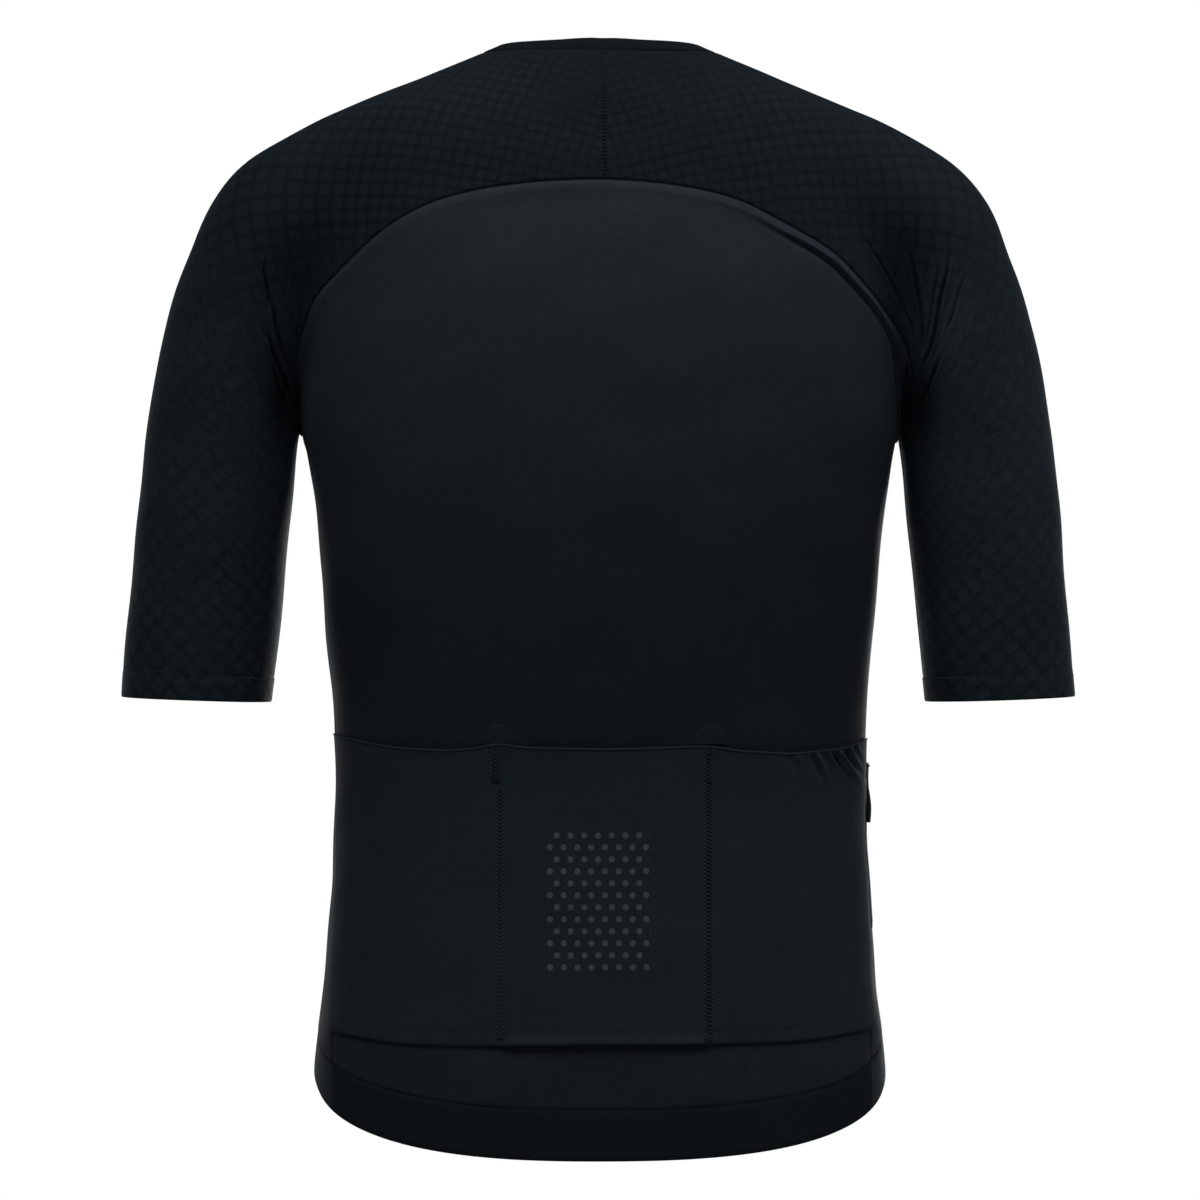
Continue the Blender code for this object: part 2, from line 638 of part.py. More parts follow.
def build_hem(side, surface):
    steps = 2 * ARCH_STEPS if side == 0 else ARCH_STEPS + NECK_FRONT_STEPS
    seam, edge = hem_lines(steps, side)
    grid = np.stack([seam, settle((seam + edge) / 2), edge])
    name = {0: "hem_back", 1: "hem_front_left", -1: "hem_front_right"}[side]
    cloth(name, grid, surface, ("top", "first", "last"), thickness=BAND)


def pocket_columns():
    """Places across the back, closer together over the gathers on the wearer's right."""
    left = np.linspace(math.radians(9), math.radians(90), 14)
    right = np.linspace(math.radians(90), math.radians(134), 8)[1:]
    gathered = np.linspace(math.radians(134), math.radians(164), 21)[1:]
    rest = np.linspace(math.radians(164), math.radians(171), 3)[1:]
    return np.concatenate([left, right, gathered, rest])


def build_pockets(surface):
    flat = pocket_columns()
    x = 171 * MM * np.cos(flat)
    t = np.array(POCKET_ROWS)[:, None]
    top = np.interp(x / MM, *POCKET_TOP.T) * MM
    bottom = np.interp(x / MM, *POCKET_BOTTOM.T) * MM
    z = (1 - t) * top + t * bottom
    angle = np.arctan2(np.sin(flat), 1.6 * np.cos(flat))
    limit = np.array([[seam_angle(h, 0) for h in line[[0, -1]]] for line in z])
    share = (angle - angle[0]) / (angle[-1] - angle[0])
    angle = limit[:, :1] * (1 - share) + (math.pi - limit[:, 1:]) * share
    way = np.stack([np.cos(angle), np.sin(angle), 0 * angle], -1)
    start = np.stack([0 * z, 0 * z, z], -1)
    grid = cast(start, way, 260 * MM)
    between = np.abs(np.sin(np.pi * np.clip(grid[..., 0] / (2 * DIVIDER_X) + 0.5, 0, 1)))
    outer_pocket = np.clip((np.abs(grid[..., 0]) - DIVIDER_X) / (90 * MM), 0, 1)
    between = np.where(outer_pocket > 0, np.sin(np.pi * outer_pocket), between)
    slack = POCKET_SLACK * between * (1 - t) ** 2
    lift = LAID_ON + CLOTH + slack + gather_height(grid, top)
    cloth("pocket_panel", grid, surface, ("first", "last"), lift=lift)


def gather_height(p, top):
    """Ridges that run down from the pocket's edge and die away."""
    height = np.zeros(p.shape[:-1])
    fall = np.clip(top - p[..., 2], 0, None)
    for x, length, high in GATHERS:
        centre = x * MM - GATHER_FAN * fall
        fade = np.clip(1 - fall / (length * MM), 0, 1)
        height += high * MM * fade * np.exp(-((p[..., 0] - centre) / GATHER_HALF)**2)
    return height


def build_tack(side, surface):
    """Half-round patch on the back, flat side down on the pocket's edge."""
    angle = np.linspace(0, math.pi, 13)
    radius = np.linspace(0.04, 1, 4)[:, None] * TACK_RADIUS
    x = side * DIVIDER_X + radius * np.cos(angle)
    z = TACK_HEIGHT + TACK_STAND * radius * np.sin(angle)
    start = np.stack([x, 0 * x, z], -1)
    grid = cast(start, np.broadcast_to((0.0, 1.0, 0.0), start.shape), 150 * MM)
    name = "pocket_tack_left" if side > 0 else "pocket_tack_right"
    cloth(name, grid, surface, thickness=TACK_WALL, lift=LAID_ON + TACK_WALL)


# ---------------------------------------------------------------- zips
def build_front_zip(surface):
    top = neck_top(1)[-1, 2]
    bottom = hem_lines(4, 1)[1][-1, 2]
    heights = np.linspace(top, bottom, 31)
    half = ZIP_HALF - SEAM_GAP
    columns = [zip_line(heights, x) for x in (-half, 0.0, half)]
    cloth("zip_front", np.stack(columns, 1), surface, thickness=ZIP_WALL)


def pocket_zip_point(share, offset):
    """A point along the side pocket's zip; offset is measured across it, towards the back."""
    depth = (1 - share) * POCKET_ZIP_FROM[0] * MM + share * POCKET_ZIP_TO[0] * MM + offset
    height = (1 - share) * POCKET_ZIP_FROM[1] * MM + share * POCKET_ZIP_TO[1] * MM
    start = np.stack([0 * depth - 120 * MM, depth, height + 0 * depth], -1)
    return cast(start, np.broadcast_to((-1.0, 0.0, 0.0), start.shape), 90 * MM)


def build_pocket_zip(surface):
    share = even(10)[:, None]
    offset = np.array([-1, 0, 1]) * POCKET_ZIP_HALF
    grid = pocket_zip_point(share, offset)
    cloth("pocket_zip", grid, surface, thickness=ZIP_WALL, lift=ZIP_LAID_ON + ZIP_WALL)


def bar(outline_mm, thick, centre, frame):
    """Points and faces of a bevelled bar: sections along its outline, lofted and capped."""
    rows = np.array(outline_mm) * MM
    half = thick / 2
    ring = np.array([(1, -1, 1, 0), (1, 1, 1, 0), (1, 1, 0, 1), (-1, 1, 0, 1),
                     (-1, 1, 1, 0), (-1, -1, 1, 0), (-1, -1, 0, 1), (1, -1, 0, 1)], float)
    side, level, wide, flat = ring.T
    x = side * (rows[:, 1:] - BEVEL * flat)
    z = level * (half - BEVEL * wide) + 0 * x
    local = np.stack([x, rows[:, :1] + 0 * x, z], -1)
    points = (centre + local @ frame).reshape(-1, 3)
    count = len(ring)
    here = np.arange(count)
    after = np.roll(here, -1)
    start = np.arange(len(rows) - 1)[:, None] * count
    one = np.stack([start + here, start + after, start + count + after], -1).reshape(-1, 3)
    two = np.stack([start + here, start + count + after, start + count + here], -1).reshape(-1, 3)
    fan = np.stack([0 * here[1:-1], here[1:-1], here[2:]], -1)
    last = (len(rows) - 1) * count
    faces = np.concatenate([one, two, fan[:, ::-1], fan + last])
    return points, facing_out(points, faces)


def zip_frame(point):
    """Rows: across, up along the cloth, out of the cloth, at a point of the form."""
    out = unit(uphill(point))
    up = unit(np.array((0, 0, 1.0)) - out[2] * out)
    return np.stack([np.cross(up, out), up, out])


def build_puller(prefix, point, base, longer, surface):
    """A slider on the zip, with two ears that hold the head of its pull tab.  The tab's origin is
    the middle of its hinge, which turns about the frame's first row."""
    frame = zip_frame(point)
    rest = base + SEAM_GAP + SLIDER_WALL / 2
    hinge_rise = rest + SLIDER_WALL / 2 + SEAM_GAP + PULL_WALL / 2
    hinge = point + hinge_rise * frame[2] + HINGE_UP * frame[1]
    body = bar(SLIDER_OUTLINE, SLIDER_WALL, point + rest * frame[2], frame)
    slider = add_object(prefix + "_slider", *body, surface)
    width, half_length, rise = EAR
    foot = SEAM_GAP + PULL_WALL / 2 + SLIDER_WALL / 2
    for side in (1, -1):
        reach = np.array((side * (PULL_OUTLINE[-1][1] * MM + 1.6 * SEAM_GAP + width / 2), 0,
                          (rise - foot) / 2))
        outline = [(-half_length / MM, width / 2 / MM), (half_length / MM, width / 2 / MM)]
        ear = add_object(f"{prefix}_ear_{side}", *bar(outline, rise + foot, hinge + reach @ frame,
                                                      frame), surface)
        ear.hide_render = True
        ear.display_type = "WIRE"
        join = slider.modifiers.new(ear.name, "BOOLEAN")
        join.operation = "UNION"
        join.solver = "EXACT"
        join.object = ear
    outline = [(up - longer, half) for up, half in PULL_OUTLINE[:3]] + PULL_OUTLINE[3:]
    tab = bar(outline, PULL_WALL, hinge, frame)
    add_object(prefix + "_pull", *tab, surface, origin=hinge)


def build():
    for item in list(bpy.data.objects):
        bpy.data.objects.remove(item)
    body = material("body_knit", (0.012, 0.014, 0.020), 0.62)
    yoke = material("yoke_knit", (0.010, 0.011, 0.014), 0.7)
    grip = material("gripper_elastic", (0.008, 0.009, 0.012), 0.75)
    tape = material("zip_tape", (0.010, 0.011, 0.014), 0.6)
    metal = material("zip_metal", (0.03, 0.03, 0.033), 0.4, 0.8)
    build_back(body)
    for side in (1, -1):
        build_front(side, body)
        build_sleeve(side, yoke)
        build_hem(side, body)
        build_tack(side, yoke)
    build_hem(0, grip)
    build_collar(yoke)
    build_pockets(body)
    build_front_zip(tape)
    build_pocket_zip(tape)
    chest = zip_line(np.array([FRONT_SLIDER_HEIGHT]), 0.0)[0]
    hip = pocket_zip_point(np.array(POCKET_SLIDER_SHARE), np.array(0.0))
    build_puller("zip_front", chest, 0.0, 0, metal)
    build_puller("pocket_zip", hip, ZIP_LAID_ON + ZIP_WALL, POCKET_PULL_LONGER, metal)


build()
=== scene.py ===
"""Looks of a cycling jersey filled out as it is worn: a smooth back under an arched seam, raglan
sleeves of net-like knit that run on as a yoke, three back pockets, a front zip and a gripper hem.

Metres, +Z up, the front towards -Y, the wearer's left towards +X.  The cloth lies on one form, a
torso of superellipse sections joined smoothly to two arms of elliptical sections.  Seam lines are
drawn on that form, panels are stretched between them on close grids, and folds, creases, rolled
seam edges and gathers are heights above the form.
"""
import math

import bpy
import numpy as np
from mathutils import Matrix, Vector


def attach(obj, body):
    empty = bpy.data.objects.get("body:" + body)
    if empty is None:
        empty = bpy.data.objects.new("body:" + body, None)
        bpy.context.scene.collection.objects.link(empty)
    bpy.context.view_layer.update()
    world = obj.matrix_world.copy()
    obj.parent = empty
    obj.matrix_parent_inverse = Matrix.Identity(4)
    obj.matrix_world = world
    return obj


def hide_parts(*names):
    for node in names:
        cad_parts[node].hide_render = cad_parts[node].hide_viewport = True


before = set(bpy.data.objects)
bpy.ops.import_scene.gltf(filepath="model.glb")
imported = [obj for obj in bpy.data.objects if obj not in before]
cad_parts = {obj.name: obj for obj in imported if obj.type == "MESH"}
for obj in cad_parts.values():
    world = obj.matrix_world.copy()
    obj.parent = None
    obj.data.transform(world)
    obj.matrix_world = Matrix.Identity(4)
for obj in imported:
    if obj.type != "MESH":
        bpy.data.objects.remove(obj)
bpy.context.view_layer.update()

MM = 0.001
SIDES = {1: "left", -1: "right"}         # the wearer's, by the sign of x

# ---------------------------------------------------------------- driving sizes
SEAM_GAP = -0.08 * MM            # neighbours just meet at a seam
LAID_ON = 0.55 * MM              # what lies on a panel starts this far above it
HEM_HEIGHT = -642 * MM           # hem at the sides; it drops towards the back
HEM_DROP = 0.457
HEM_SEAM_HEIGHT = -618 * MM      # seam above the hem band
HEM_SEAM_DROP = 0.39             # drop of that seam over the back
ZIP_HALF = 6 * MM                # the zip edge of each front from the centre line
CUFF_HEIGHT = -411 * MM
CUFF_TILT = math.radians(-2)
UNDERARM = (191.3, -1.0, -241.0)         # where torso and arm part, in mm
FAR_OUT = 260 * MM               # farther from the middle than any point of the torso

# Torso sections, mm: height, half width, depth to the back and to the front, squareness
TORSO = np.array([
    (40, 52, 40, 24, 2.0),
    (20, 56, 43, 28, 2.0),
    (8, 62, 48, 33, 2.0),
    (0, 79.5, 55, 41, 2.05),
    (-14, 113, 66, 52, 2.1),
    (-27, 144.5, 74, 61, 2.15),
    (-40, 165, 81, 68, 2.2),
    (-60, 180, 89, 78, 2.25),
    (-90, 188, 97, 90, 2.3),
    (-120, 190, 104, 100, 2.35),
    (-160, 191, 110, 110, 2.4),
    (-200, 191, 112, 115, 2.4),
    (-239, 190.2, 111, 115, 2.4),
    (-262, 186, 110, 114, 2.4),
    (-284, 182.2, 108, 112, 2.4),
    (-322, 178.5, 103, 108, 2.4),
    (-360, 175.4, 99, 105, 2.4),
    (-420, 170.8, 94, 102, 2.4),
    (-463, 169.3, 93, 101, 2.4),
    (-527, 171.5, 98, 102, 2.4),
    (-580, 175.2, 104, 104, 2.4),
    (-642, 182.1, 110, 105, 2.45),
    (-700, 187, 112, 105, 2.5)])

# Arm sections, mm: height, centre from the middle, half width, half depth, shift to the front
ARM = np.array([
    (-40, 180, 44, 54, 0),
    (-66, 194, 46, 55, 0),
    (-92, 203, 47, 56, 0),
    (-117, 211, 47.5, 57, 0),
    (-155, 223.5, 49, 57, 0),
    (-207, 235.2, 49.3, 57, 1),
    (-239, 240.6, 49, 56, 3),
    (-284, 245.6, 49.1, 55, 5),
    (-322, 249.3, 49, 54, 7),
    (-360, 253, 48.8, 53, 9),
    (-410, 258.3, 47.8, 51, 12),
    (-440, 261.5, 47.5, 50, 14)])
CAP_START = -117                 # the arm sections close above this height, over CAP_RISE
CAP_RISE = 66
ARM_EVEN = 0.97                  # brings the arm's measure of distance close to a true one
BLEND_LOW = (-245, 4 * MM)       # height and width of the smooth joint between arm and torso
BLEND_HIGH = (-100, 38 * MM)

# Seams, mm: x, y, z of the points that a line runs through, from the underarm upwards
ARCH = {
    1: [UNDERARM, (191.4, 12, -233), (192.4, 30.3, -205.3), (192.2, 36.4, -191.1),
        (186.4, 43.8, -172), (179.2, 51.8, -156.2), (162.5, 66.1, -139), (135.5, 79.7, -115.7),
        (108.7, 86.8, -101.4), (77.1, 92.2, -93.1), (34.5, 95.7, -88.3), (0, 96.4, -87)],
    -1: [UNDERARM, (191.4, 12, -233), (193.0, 30.3, -206), (193.4, 37.4, -192.2),
         (187.8, 41.5, -177.5), (176.5, 53.6, -163.1), (160, 69.2, -146), (142.9, 78.5, -130.5),
         (114.8, 87.9, -114.5), (82.1, 92.7, -98.9), (39.8, 95.8, -90), (0, 96.4, -87)]}
RAGLAN = [UNDERARM, (192, -20, -228), (191, -40, -196), (178, -60, -160), (154, -76, -130),
          (122, -82, -98), (92, -76, -62), (66, -52, -22)]
NECK_BACK = [(0, 56.5, -1.8), (30, 53, -0.6), (55, 41, 1.2), (71, 21, 2.2), (77, 0, 1.6),
             (76, -26, -6), (66, -52, -22)]
NECK_FRONT = [(66, -52, -22), (48, -66, -38), (27, -75, -52), (6, -78.5, -60)]
NECK_TOP = [(0, 49.3, 6.3), (27, 46, 6.5), (47, 35, 6.8), (60, 18, 6.8), (64.5, 0, 6.0),
            (65, -20, 0), (56, -42, -13), (41, -56, -27), (23, -66, -41), (6, -69.5, -48.5)]
SHOULDER_ARCS = [                # shares of the seams, ridge x and z, lean of the centre
    (0.36, 148, -28, 0.0),
    (0.70, 236, -78, 0.3)]
UNDERARM_RING = (278.5, -177)    # x and z of its outermost point

# Side seam, mm: height, distance behind the middle
SIDE_SEAM = np.array([
    (-241, 0), (-300, 1), (-360, 6), (-434, 18), (-480, 23), (-530, 30), (-588, 40), (-630, 50),
    (-680, 58)])

# Folds drawn to the underarm, mm: start, middle and end of each line, half width, depth
FOLDS = {
    1: [((212, 55, -134), (206, 50, -184), (200, 36, -228), 7.5, 4.6),
        ((228, 56, -160), (219, 54, -198), (206, 38, -232), 7.0, 3.4),
        ((178, 63, -146), (184, 57, -170), (188, 44, -200), 6.5, 2.6)],
    -1: [((164, 68, -122), (184, 55, -150), (198, 43, -190), 6.5, 3.4),
         ((192, 56, -122), (204, 51, -160), (203, 43, -206), 7.5, 4.8),
         ((228, 56, -130), (222, 56, -172), (209, 43, -216), 7.0, 4.0)]}
FOLD_CLEAR = 8 * MM

# Back pockets, mm: x and height of the points of the edge
POCKET_TOP = np.array([
    (-172, -435), (-150, -441), (-120, -443.5), (-91, -441.5), (-74, -439.2), (-66, -436.3),
    (-58, -438.8), (-33, -439.5), (0, -440), (33, -439.5), (61, -438.9), (69.5, -436.3),
    (78, -439.2), (102, -441), (127, -440), (150, -436.5), (172, -432)])
POCKET_BOTTOM = np.array([
    (-172, -617.5), (-141, -620.7), (-116, -621.8), (0, -621.6), (124, -623), (147, -621.5),
    (172, -618)])
DIVIDER_X = 66 * MM
POCKET_SLACK = 2.2 * MM          # how far a pocket's open edge stands off between dividers
POCKET_SWELL = 0.9 * MM          # and its middle
DIVIDER_SINK = 0.75 * MM         # trough along a divider, and the lips on either side of it
DIVIDER_LIP = 0.3 * MM
BOTTOM_LIP = (1.3 * MM, -0.25 * MM)      # bottom edge of the middle pocket and of the others
BOTTOM_SINK = 0.3 * MM           # along the stitches above that edge
# Gathers in the edge of the pocket on the wearer's right, mm: x at the edge, length, height,
# half width, and sideways drift for each unit down
GATHERS = [(-119, 14, 1.2, 2.2, 0.35), (-131.5, 21, 2.3, 1.8, 0.42), (-140, 15, 1.6, 1.9, 0.55),
           (-146.5, 29, 2.9, 2.0, 0.66), (-154.5, 19, 2.0, 1.6, 0.5), (-160.5, 9, 0.8, 1.3, 0.3)]
TACK_RADIUS = 10.2 * MM          # half-round patch above each divider
TACK_STAND = 1.3                 # its height over that radius
TACK_HEIGHT = -437.1 * MM

# Grid counts
ARCH_STEPS = 14
CENTRE_BACK_STEPS = 6
NECK_BACK_STEPS = 22
NECK_FRONT_STEPS = 6
PANEL_ROWS = 15
TUBE_ROWS = 8
POCKET_ROWS = (0, 0.055, 0.12, 0.27, 0.48, 0.74, 1)       # shares of the way down

# Finer form, mm: a crease's points from its start to the underarm, half width, depth
CREASES = {
    1: [([(210.3, 57, -129.7), (211.9, 56, -142.8), (210.8, 55, -151.5), (209.4, 54, -160.2),
          (208.3, 52, -170.7)], 1.0, 2.2),
        ([(206.7, 53, -157.6), (206.1, 52, -166.3), (204.7, 49, -178), (202, 45, -188.5),
          (199.7, 40, -200.2)], 1.1, 2.7),
        ([(212, 54, -170.8), (209.7, 52, -180.7), (206, 47, -194.3), (201.2, 41, -204.6),
          (197.8, 33, -215.6), (196.7, 27, -226)], 1.2, 2.6),
        ([(211.1, 51, -191.3), (207.2, 47, -199.3), (204.6, 43, -210.4), (200.8, 36, -220.7),
          (198.1, 27, -232.4)], 1.1, 1.9),
        ([(188, 49, -151.6), (189.5, 44, -167.7), (192.2, 39, -184.3), (195.2, 35, -201.1),
          (196, 31, -214.8)], 1.2, 0.9),
        ([(198.1, 54, -136.9), (197.9, 52, -148.1), (199, 50, -157.3)], 1.1, 0.8),
        ([(216.6, 56, -169), (213.8, 54, -178.3), (209.3, 51, -187.5)], 1.1, 0.8)],
    -1: [([(159.1, 65, -111.9), (166.3, 62, -123.5), (179.7, 53, -143.6), (191.9, 45, -167.6),
           (197.2, 42, -183.8), (198.6, 38, -203.2)], 1.0, 0.7),
         ([(189.2, 55, -123.2), (194.4, 54, -134.8), (198.3, 51, -152.8), (200.4, 49, -171.6),
           (200.9, 45, -190.9), (200.4, 42, -198)], 1.15, 2.8),
         ([(219.1, 57, -124.2), (217.2, 57, -138.7), (212.6, 55, -158.7), (209, 51, -181.2),
           (202.3, 42, -204.7)], 1.1, 2.7),
         ([(230, 55, -139.2), (224.8, 57, -152.5), (220.4, 56, -168.2), (215.6, 54, -182.6)],
          1.1, 1.2),
         ([(214.5, 53, -190.1), (209.3, 48, -204.3), (204.4, 41, -217.9), (200.2, 32, -228.3)],
          1.1, 1.7),
         ([(192.6, 38, -188), (196.9, 36, -201.9), (198.1, 34, -215.7)], 1.1, 2.0),
         ([(209, 57, -127.4), (211, 56, -143.1), (209.9, 54, -158.7)], 1.0, 0.8),
         ([(213.6, 56, -130), (209.6, 54, -150), (206.2, 51, -172), (203.4, 46, -194)], 1.0, 1.2)]}
FRONT_CREASES = {                # the same kind on the front of each sleeve
    1: [([(205, -58, -128), (206, -52, -160), (203, -44, -190), (199, -28, -224)], 1.9, 2.4),
        ([(224, -57, -145), (217, -55, -175), (208, -44, -206)], 1.8, 1.8),
        ([(183, -63, -128), (194, -52, -158), (199, -42, -188)], 1.8, 1.4)],
    -1: [([(198, -58, -122), (203, -53, -152), (203, -45, -186), (199, -30, -221)], 1.9, 2.4),
         ([(230, -55, -152), (221, -55, -180), (209, -44, -210)], 1.8, 1.6),
         ([(214, -57, -134), (211, -54, -164), (205, -45, -196)], 1.7, 1.5)]}
# Soft waves in the cloth, mm: direction across them (x, y, z), length of a wave, start, height
WAVES = [((0.9, 0.2, 0.4), 96, 0.3, 0.34), ((0.5, 0.5, -0.7), 61, 1.9, 0.22),
         ((0.3, -0.6, 0.75), 43, 4.1, 0.14)]
FRONT_WAVES = 1.4                # share of them that the fronts show
SHEET = 0.7 * MM                 # wall of the shown cloth
BAND_SHEET = 1.4 * MM            # wall of the neck and hem bands, which are doubled
FOLD_SHOWN = 0.22                # share of the solids' folds that the shown cloth takes up
SEAM_DIP = 0.7 * MM              # how far a sewn edge turns down, and over what width
SEAM_DIP_WIDTH = 1.1 * MM
SEAM_MARK_WIDTH = 0.5 * MM       # half width of the dark line along a seam
# Raised allowance under the arched seam, mm: x along the seam, height of the ridge, depth of the
# trough beyond it
ALLOWANCE = np.array([(-200, 0.8, 0.5), (-188, 1.6, 1.2), (-150, 1.8, 1.3), (-118, 1.5, 0.9),
                      (-90, 0.8, 0.3), (-60, 0.45, 0.1), (0, 0.4, 0.08), (110, 0.45, 0.08),
                      (150, 0.8, 0.05), (200, 0.8, 0.0)])
CUFF_HEM = 16 * MM
CUFF_DOUBLED = 0.35 * MM         # how far the turned-up hem stands out
LATTICE = 11.2 * MM              # pitch of the net-like knit on the flat cut, at the cuff
LATTICE_CLOSER = 1.95            # per metre: how fast its pitch falls towards the centre back

# Fine grid counts for one coarse step
BACK_FINE = (10, 8)
SLEEVE_FINE = (5, 20, 10, 4)     # rows over the yoke and the creases, columns over the creases
                                 # and the rest
YOKE_STEPS = 6                   # coarse rows before the creases begin
CREASED_STEPS = 11               # coarse columns that the creases cross
TUBE_FINE = 6
FRONT_FINE = (9, 5)
HEM_FINE = (8, 6)

# Zips
FRONT_TEETH = (1.5 * MM, 2.1 * MM, 0.8 * MM)     # pitch, reach across the middle, thickness
POCKET_TEETH = (1.4 * MM, 1.9 * MM, 0.65 * MM)
POCKET_ZIP_FROM = (8, -446)      # mm: distance behind the middle, height
POCKET_ZIP_TO = (16, -556)
POCKET_ZIP_HALF = 4.5 * MM
PULL_HINGE = (-173.6, 9.0, -453.2)       # mm
# Pull of the pocket's zip, mm: distance up the cloth from its hinge, distance out from it, half
# its width and half its thickness
PULL_CORD = np.array([(1.4, -2.4, 1.1, 0.45), (-3, -2.5, 1.2, 0.5), (-8, -2.55, 1.3, 0.55),
                      (-12, -2.45, 1.6, 0.65), (-15.5, -2.25, 2.0, 0.85), (-19, -1.85, 2.3, 1.15),
                      (-26, -1.35, 2.5, 1.55), (-31.5, -1.35, 2.5, 1.6), (-36.5, -1.5, 2.3, 1.45)])
# Slider of that zip: share of the way down the zip, half its width in mm
SLIDER_SIDES = np.array([(0.045, 2.3), (0.056, 3.7), (0.075, 3.8), (0.095, 3.1), (0.125, 2.9),
                         (0.137, 2.2)])

# Sewing, mm: rows of stitches down each pocket divider as x, top and bottom height
DIVIDER_ROWS = {1: [(70, 70, -440, -458), (66, 66, -440, -458), (66.2, 66.3, -463, -617),
                    (63.2, 63.3, -463, -617)],
                -1: [(-62.4, -61.9, -440, -619), (-66.7, -66.2, -440, -619)]}
BARTACKS = [(67.2, -459.6), (-64.4, -459.5), (64.5, -617.5), (-64, -618.5)]      # x, height
STITCH = (1.2 * MM, 0.85 * MM, 0.45 * MM)        # length, width, height of a stitch
STITCH_PITCH = 2.5 * MM
HEM_STITCH_PITCH = 3.1 * MM
HEM_STITCH = (2.3 * MM, 0.5 * MM, 0.35 * MM)
BOTTOM_STITCH = (2.3 * MM, 0.5 * MM, 0.3 * MM)
RUNG_WIDE, RUNG_HIGH = 0.75 * MM, 0.3 * MM       # the threads across between two rows
BARTACK_HALF = 2.7               # mm
BARTACK_PITCH = 0.52 * MM
BARTACK_STITCH = (2.6 * MM, 0.46 * MM, 0.6 * MM)
CENTRE_BACK_STITCH = (1.9 * MM, 0.5 * MM, 0.5 * MM)
BOTTOM_ROW = 6.6 * MM            # stitch line above the pockets' bottom edge
BINDING_HALF = (0.75 * MM, 0.5 * MM)     # half the height and half the thickness of the binding


# ---------------------------------------------------------------- the form
def hermite(levels, values, at):
    """A cubic Hermite curve through values at rising levels; slopes come from the neighbours."""
    rise = np.gradient(values, levels, axis=0)
    at = np.clip(at, levels[0], levels[-1])
    below = np.clip(np.searchsorted(levels, at, side="right") - 1, 0, len(levels) - 2)
    extra = (...,) + (None,) * (values.ndim - 1)
    span = (levels[below + 1] - levels[below])[extra]
    t = (at - levels[below])[extra] / span
    start = (2 * t**3 - 3 * t**2 + 1) * values[below] + (t**3 - 2 * t**2 + t) * span * rise[below]
    end = (3 * t**2 - 2 * t**3) * values[below + 1] + (t**3 - t**2) * span * rise[below + 1]
    return start + end


def table_at(rows, height):
    """Columns of a table whose rows run down from the highest."""
    return hermite(rows[::-1, 0], rows[::-1, 1:], height)


def torso_distance(p):
    """Superellipse section: its level value over the length of its slope."""
    x, y, z = np.moveaxis(p, -1, 0)
    half, back, front, power = np.moveaxis(table_at(TORSO, z / MM), -1, 0)
    depth = np.where(y > 0, back, front) * MM
    half = half * MM
    u = np.abs(x) / half
    v = np.abs(y) / depth
    level = np.maximum((u**power + v**power) ** (1 / power), 1e-6)
    slope = np.hypot(u ** (power - 1) / half, v ** (power - 1) / depth) * level ** (1 - power)
    return (level - 1) / np.maximum(slope, 1.0)


def arm_distance(p):
    """Elliptical section, closed over the shoulder by a round cap."""
    x, y, z = np.moveaxis(p, -1, 0) / MM
    centre, half, depth, forward = np.moveaxis(table_at(ARM, z), -1, 0)
    cap = np.maximum(z - CAP_START, 0) / CAP_RISE
    level = np.sqrt(((np.abs(x) - centre) / half)**2 + ((y + forward) / depth)**2 + cap**2)
    return (level - 1) * np.sqrt(half * depth) * MM * ARM_EVEN


def distance(p):
    """Smooth union of torso and arms: the smaller distance, less a round where they are close."""
    torso = torso_distance(p)
    arm = arm_distance(p)
    t = np.clip((p[..., 2] / MM - BLEND_LOW[0]) / (BLEND_HIGH[0] - BLEND_LOW[0]), 0, 1)
    width = BLEND_LOW[1] + (BLEND_HIGH[1] - BLEND_LOW[1]) * t * t * (3 - 2 * t)
    near = np.clip(width - np.abs(torso - arm), 0, None) / width
    return np.minimum(torso, arm) - near * near * width / 4


def uphill(p, step=0.1 * MM):
    """Slope of the distance, by differences along each axis."""
    slope = np.empty_like(p)
    for axis in range(3):
        shift = np.zeros(3)
        shift[axis] = step
        slope[..., axis] = (distance(p + shift) - distance(p - shift)) / (2 * step)
    return slope


def unit(v):
    return v / np.maximum(np.linalg.norm(v, axis=-1, keepdims=True), 1e-12)


def settle(p, rounds=14):
    """Carry points onto the form by Newton steps along the slope."""
    p = np.array(p, dtype=float)
    for _ in range(rounds):
        slope = uphill(p)
        step = distance(p) / np.maximum((slope * slope).sum(-1), 1e-9)
        p -= np.clip(step, -20 * MM, 20 * MM)[..., None] * slope
    return p


def cast(start, toward, reach, samples=240):
    """Where rays from inside first leave the form: a march, then halving the last step."""
    toward = unit(np.asarray(toward, dtype=float))
    start = np.broadcast_to(start, toward.shape)
    far = np.linspace(0, reach, samples)
    outside = distance(start[..., None, :] + far[:, None] * toward[..., None, :]) > 0
    first = np.maximum(outside.argmax(-1), 1)
    low = far[first - 1]
    high = far[first]
    for _ in range(30):
        middle = (low + high) / 2
        out = distance(start + middle[..., None] * toward) > 0
        high = np.where(out, middle, high)
        low = np.where(out, low, middle)
    return start + ((low + high) / 2)[..., None] * toward


def cast_level(x, y, z, way, reach):
    """The same for rays from each x, y and z that all go one way."""
    start = np.stack(np.broadcast_arrays(x, y, z), -1).astype(float)
    return cast(start, np.broadcast_to(way, start.shape), reach)


# ---------------------------------------------------------------- lines and patches
def lengths(points):
    """How far each point of a polyline lies from its start, measured along it."""
    steps = np.linalg.norm(np.diff(points, axis=0), axis=1)
    return np.concatenate([[0], np.cumsum(steps)])


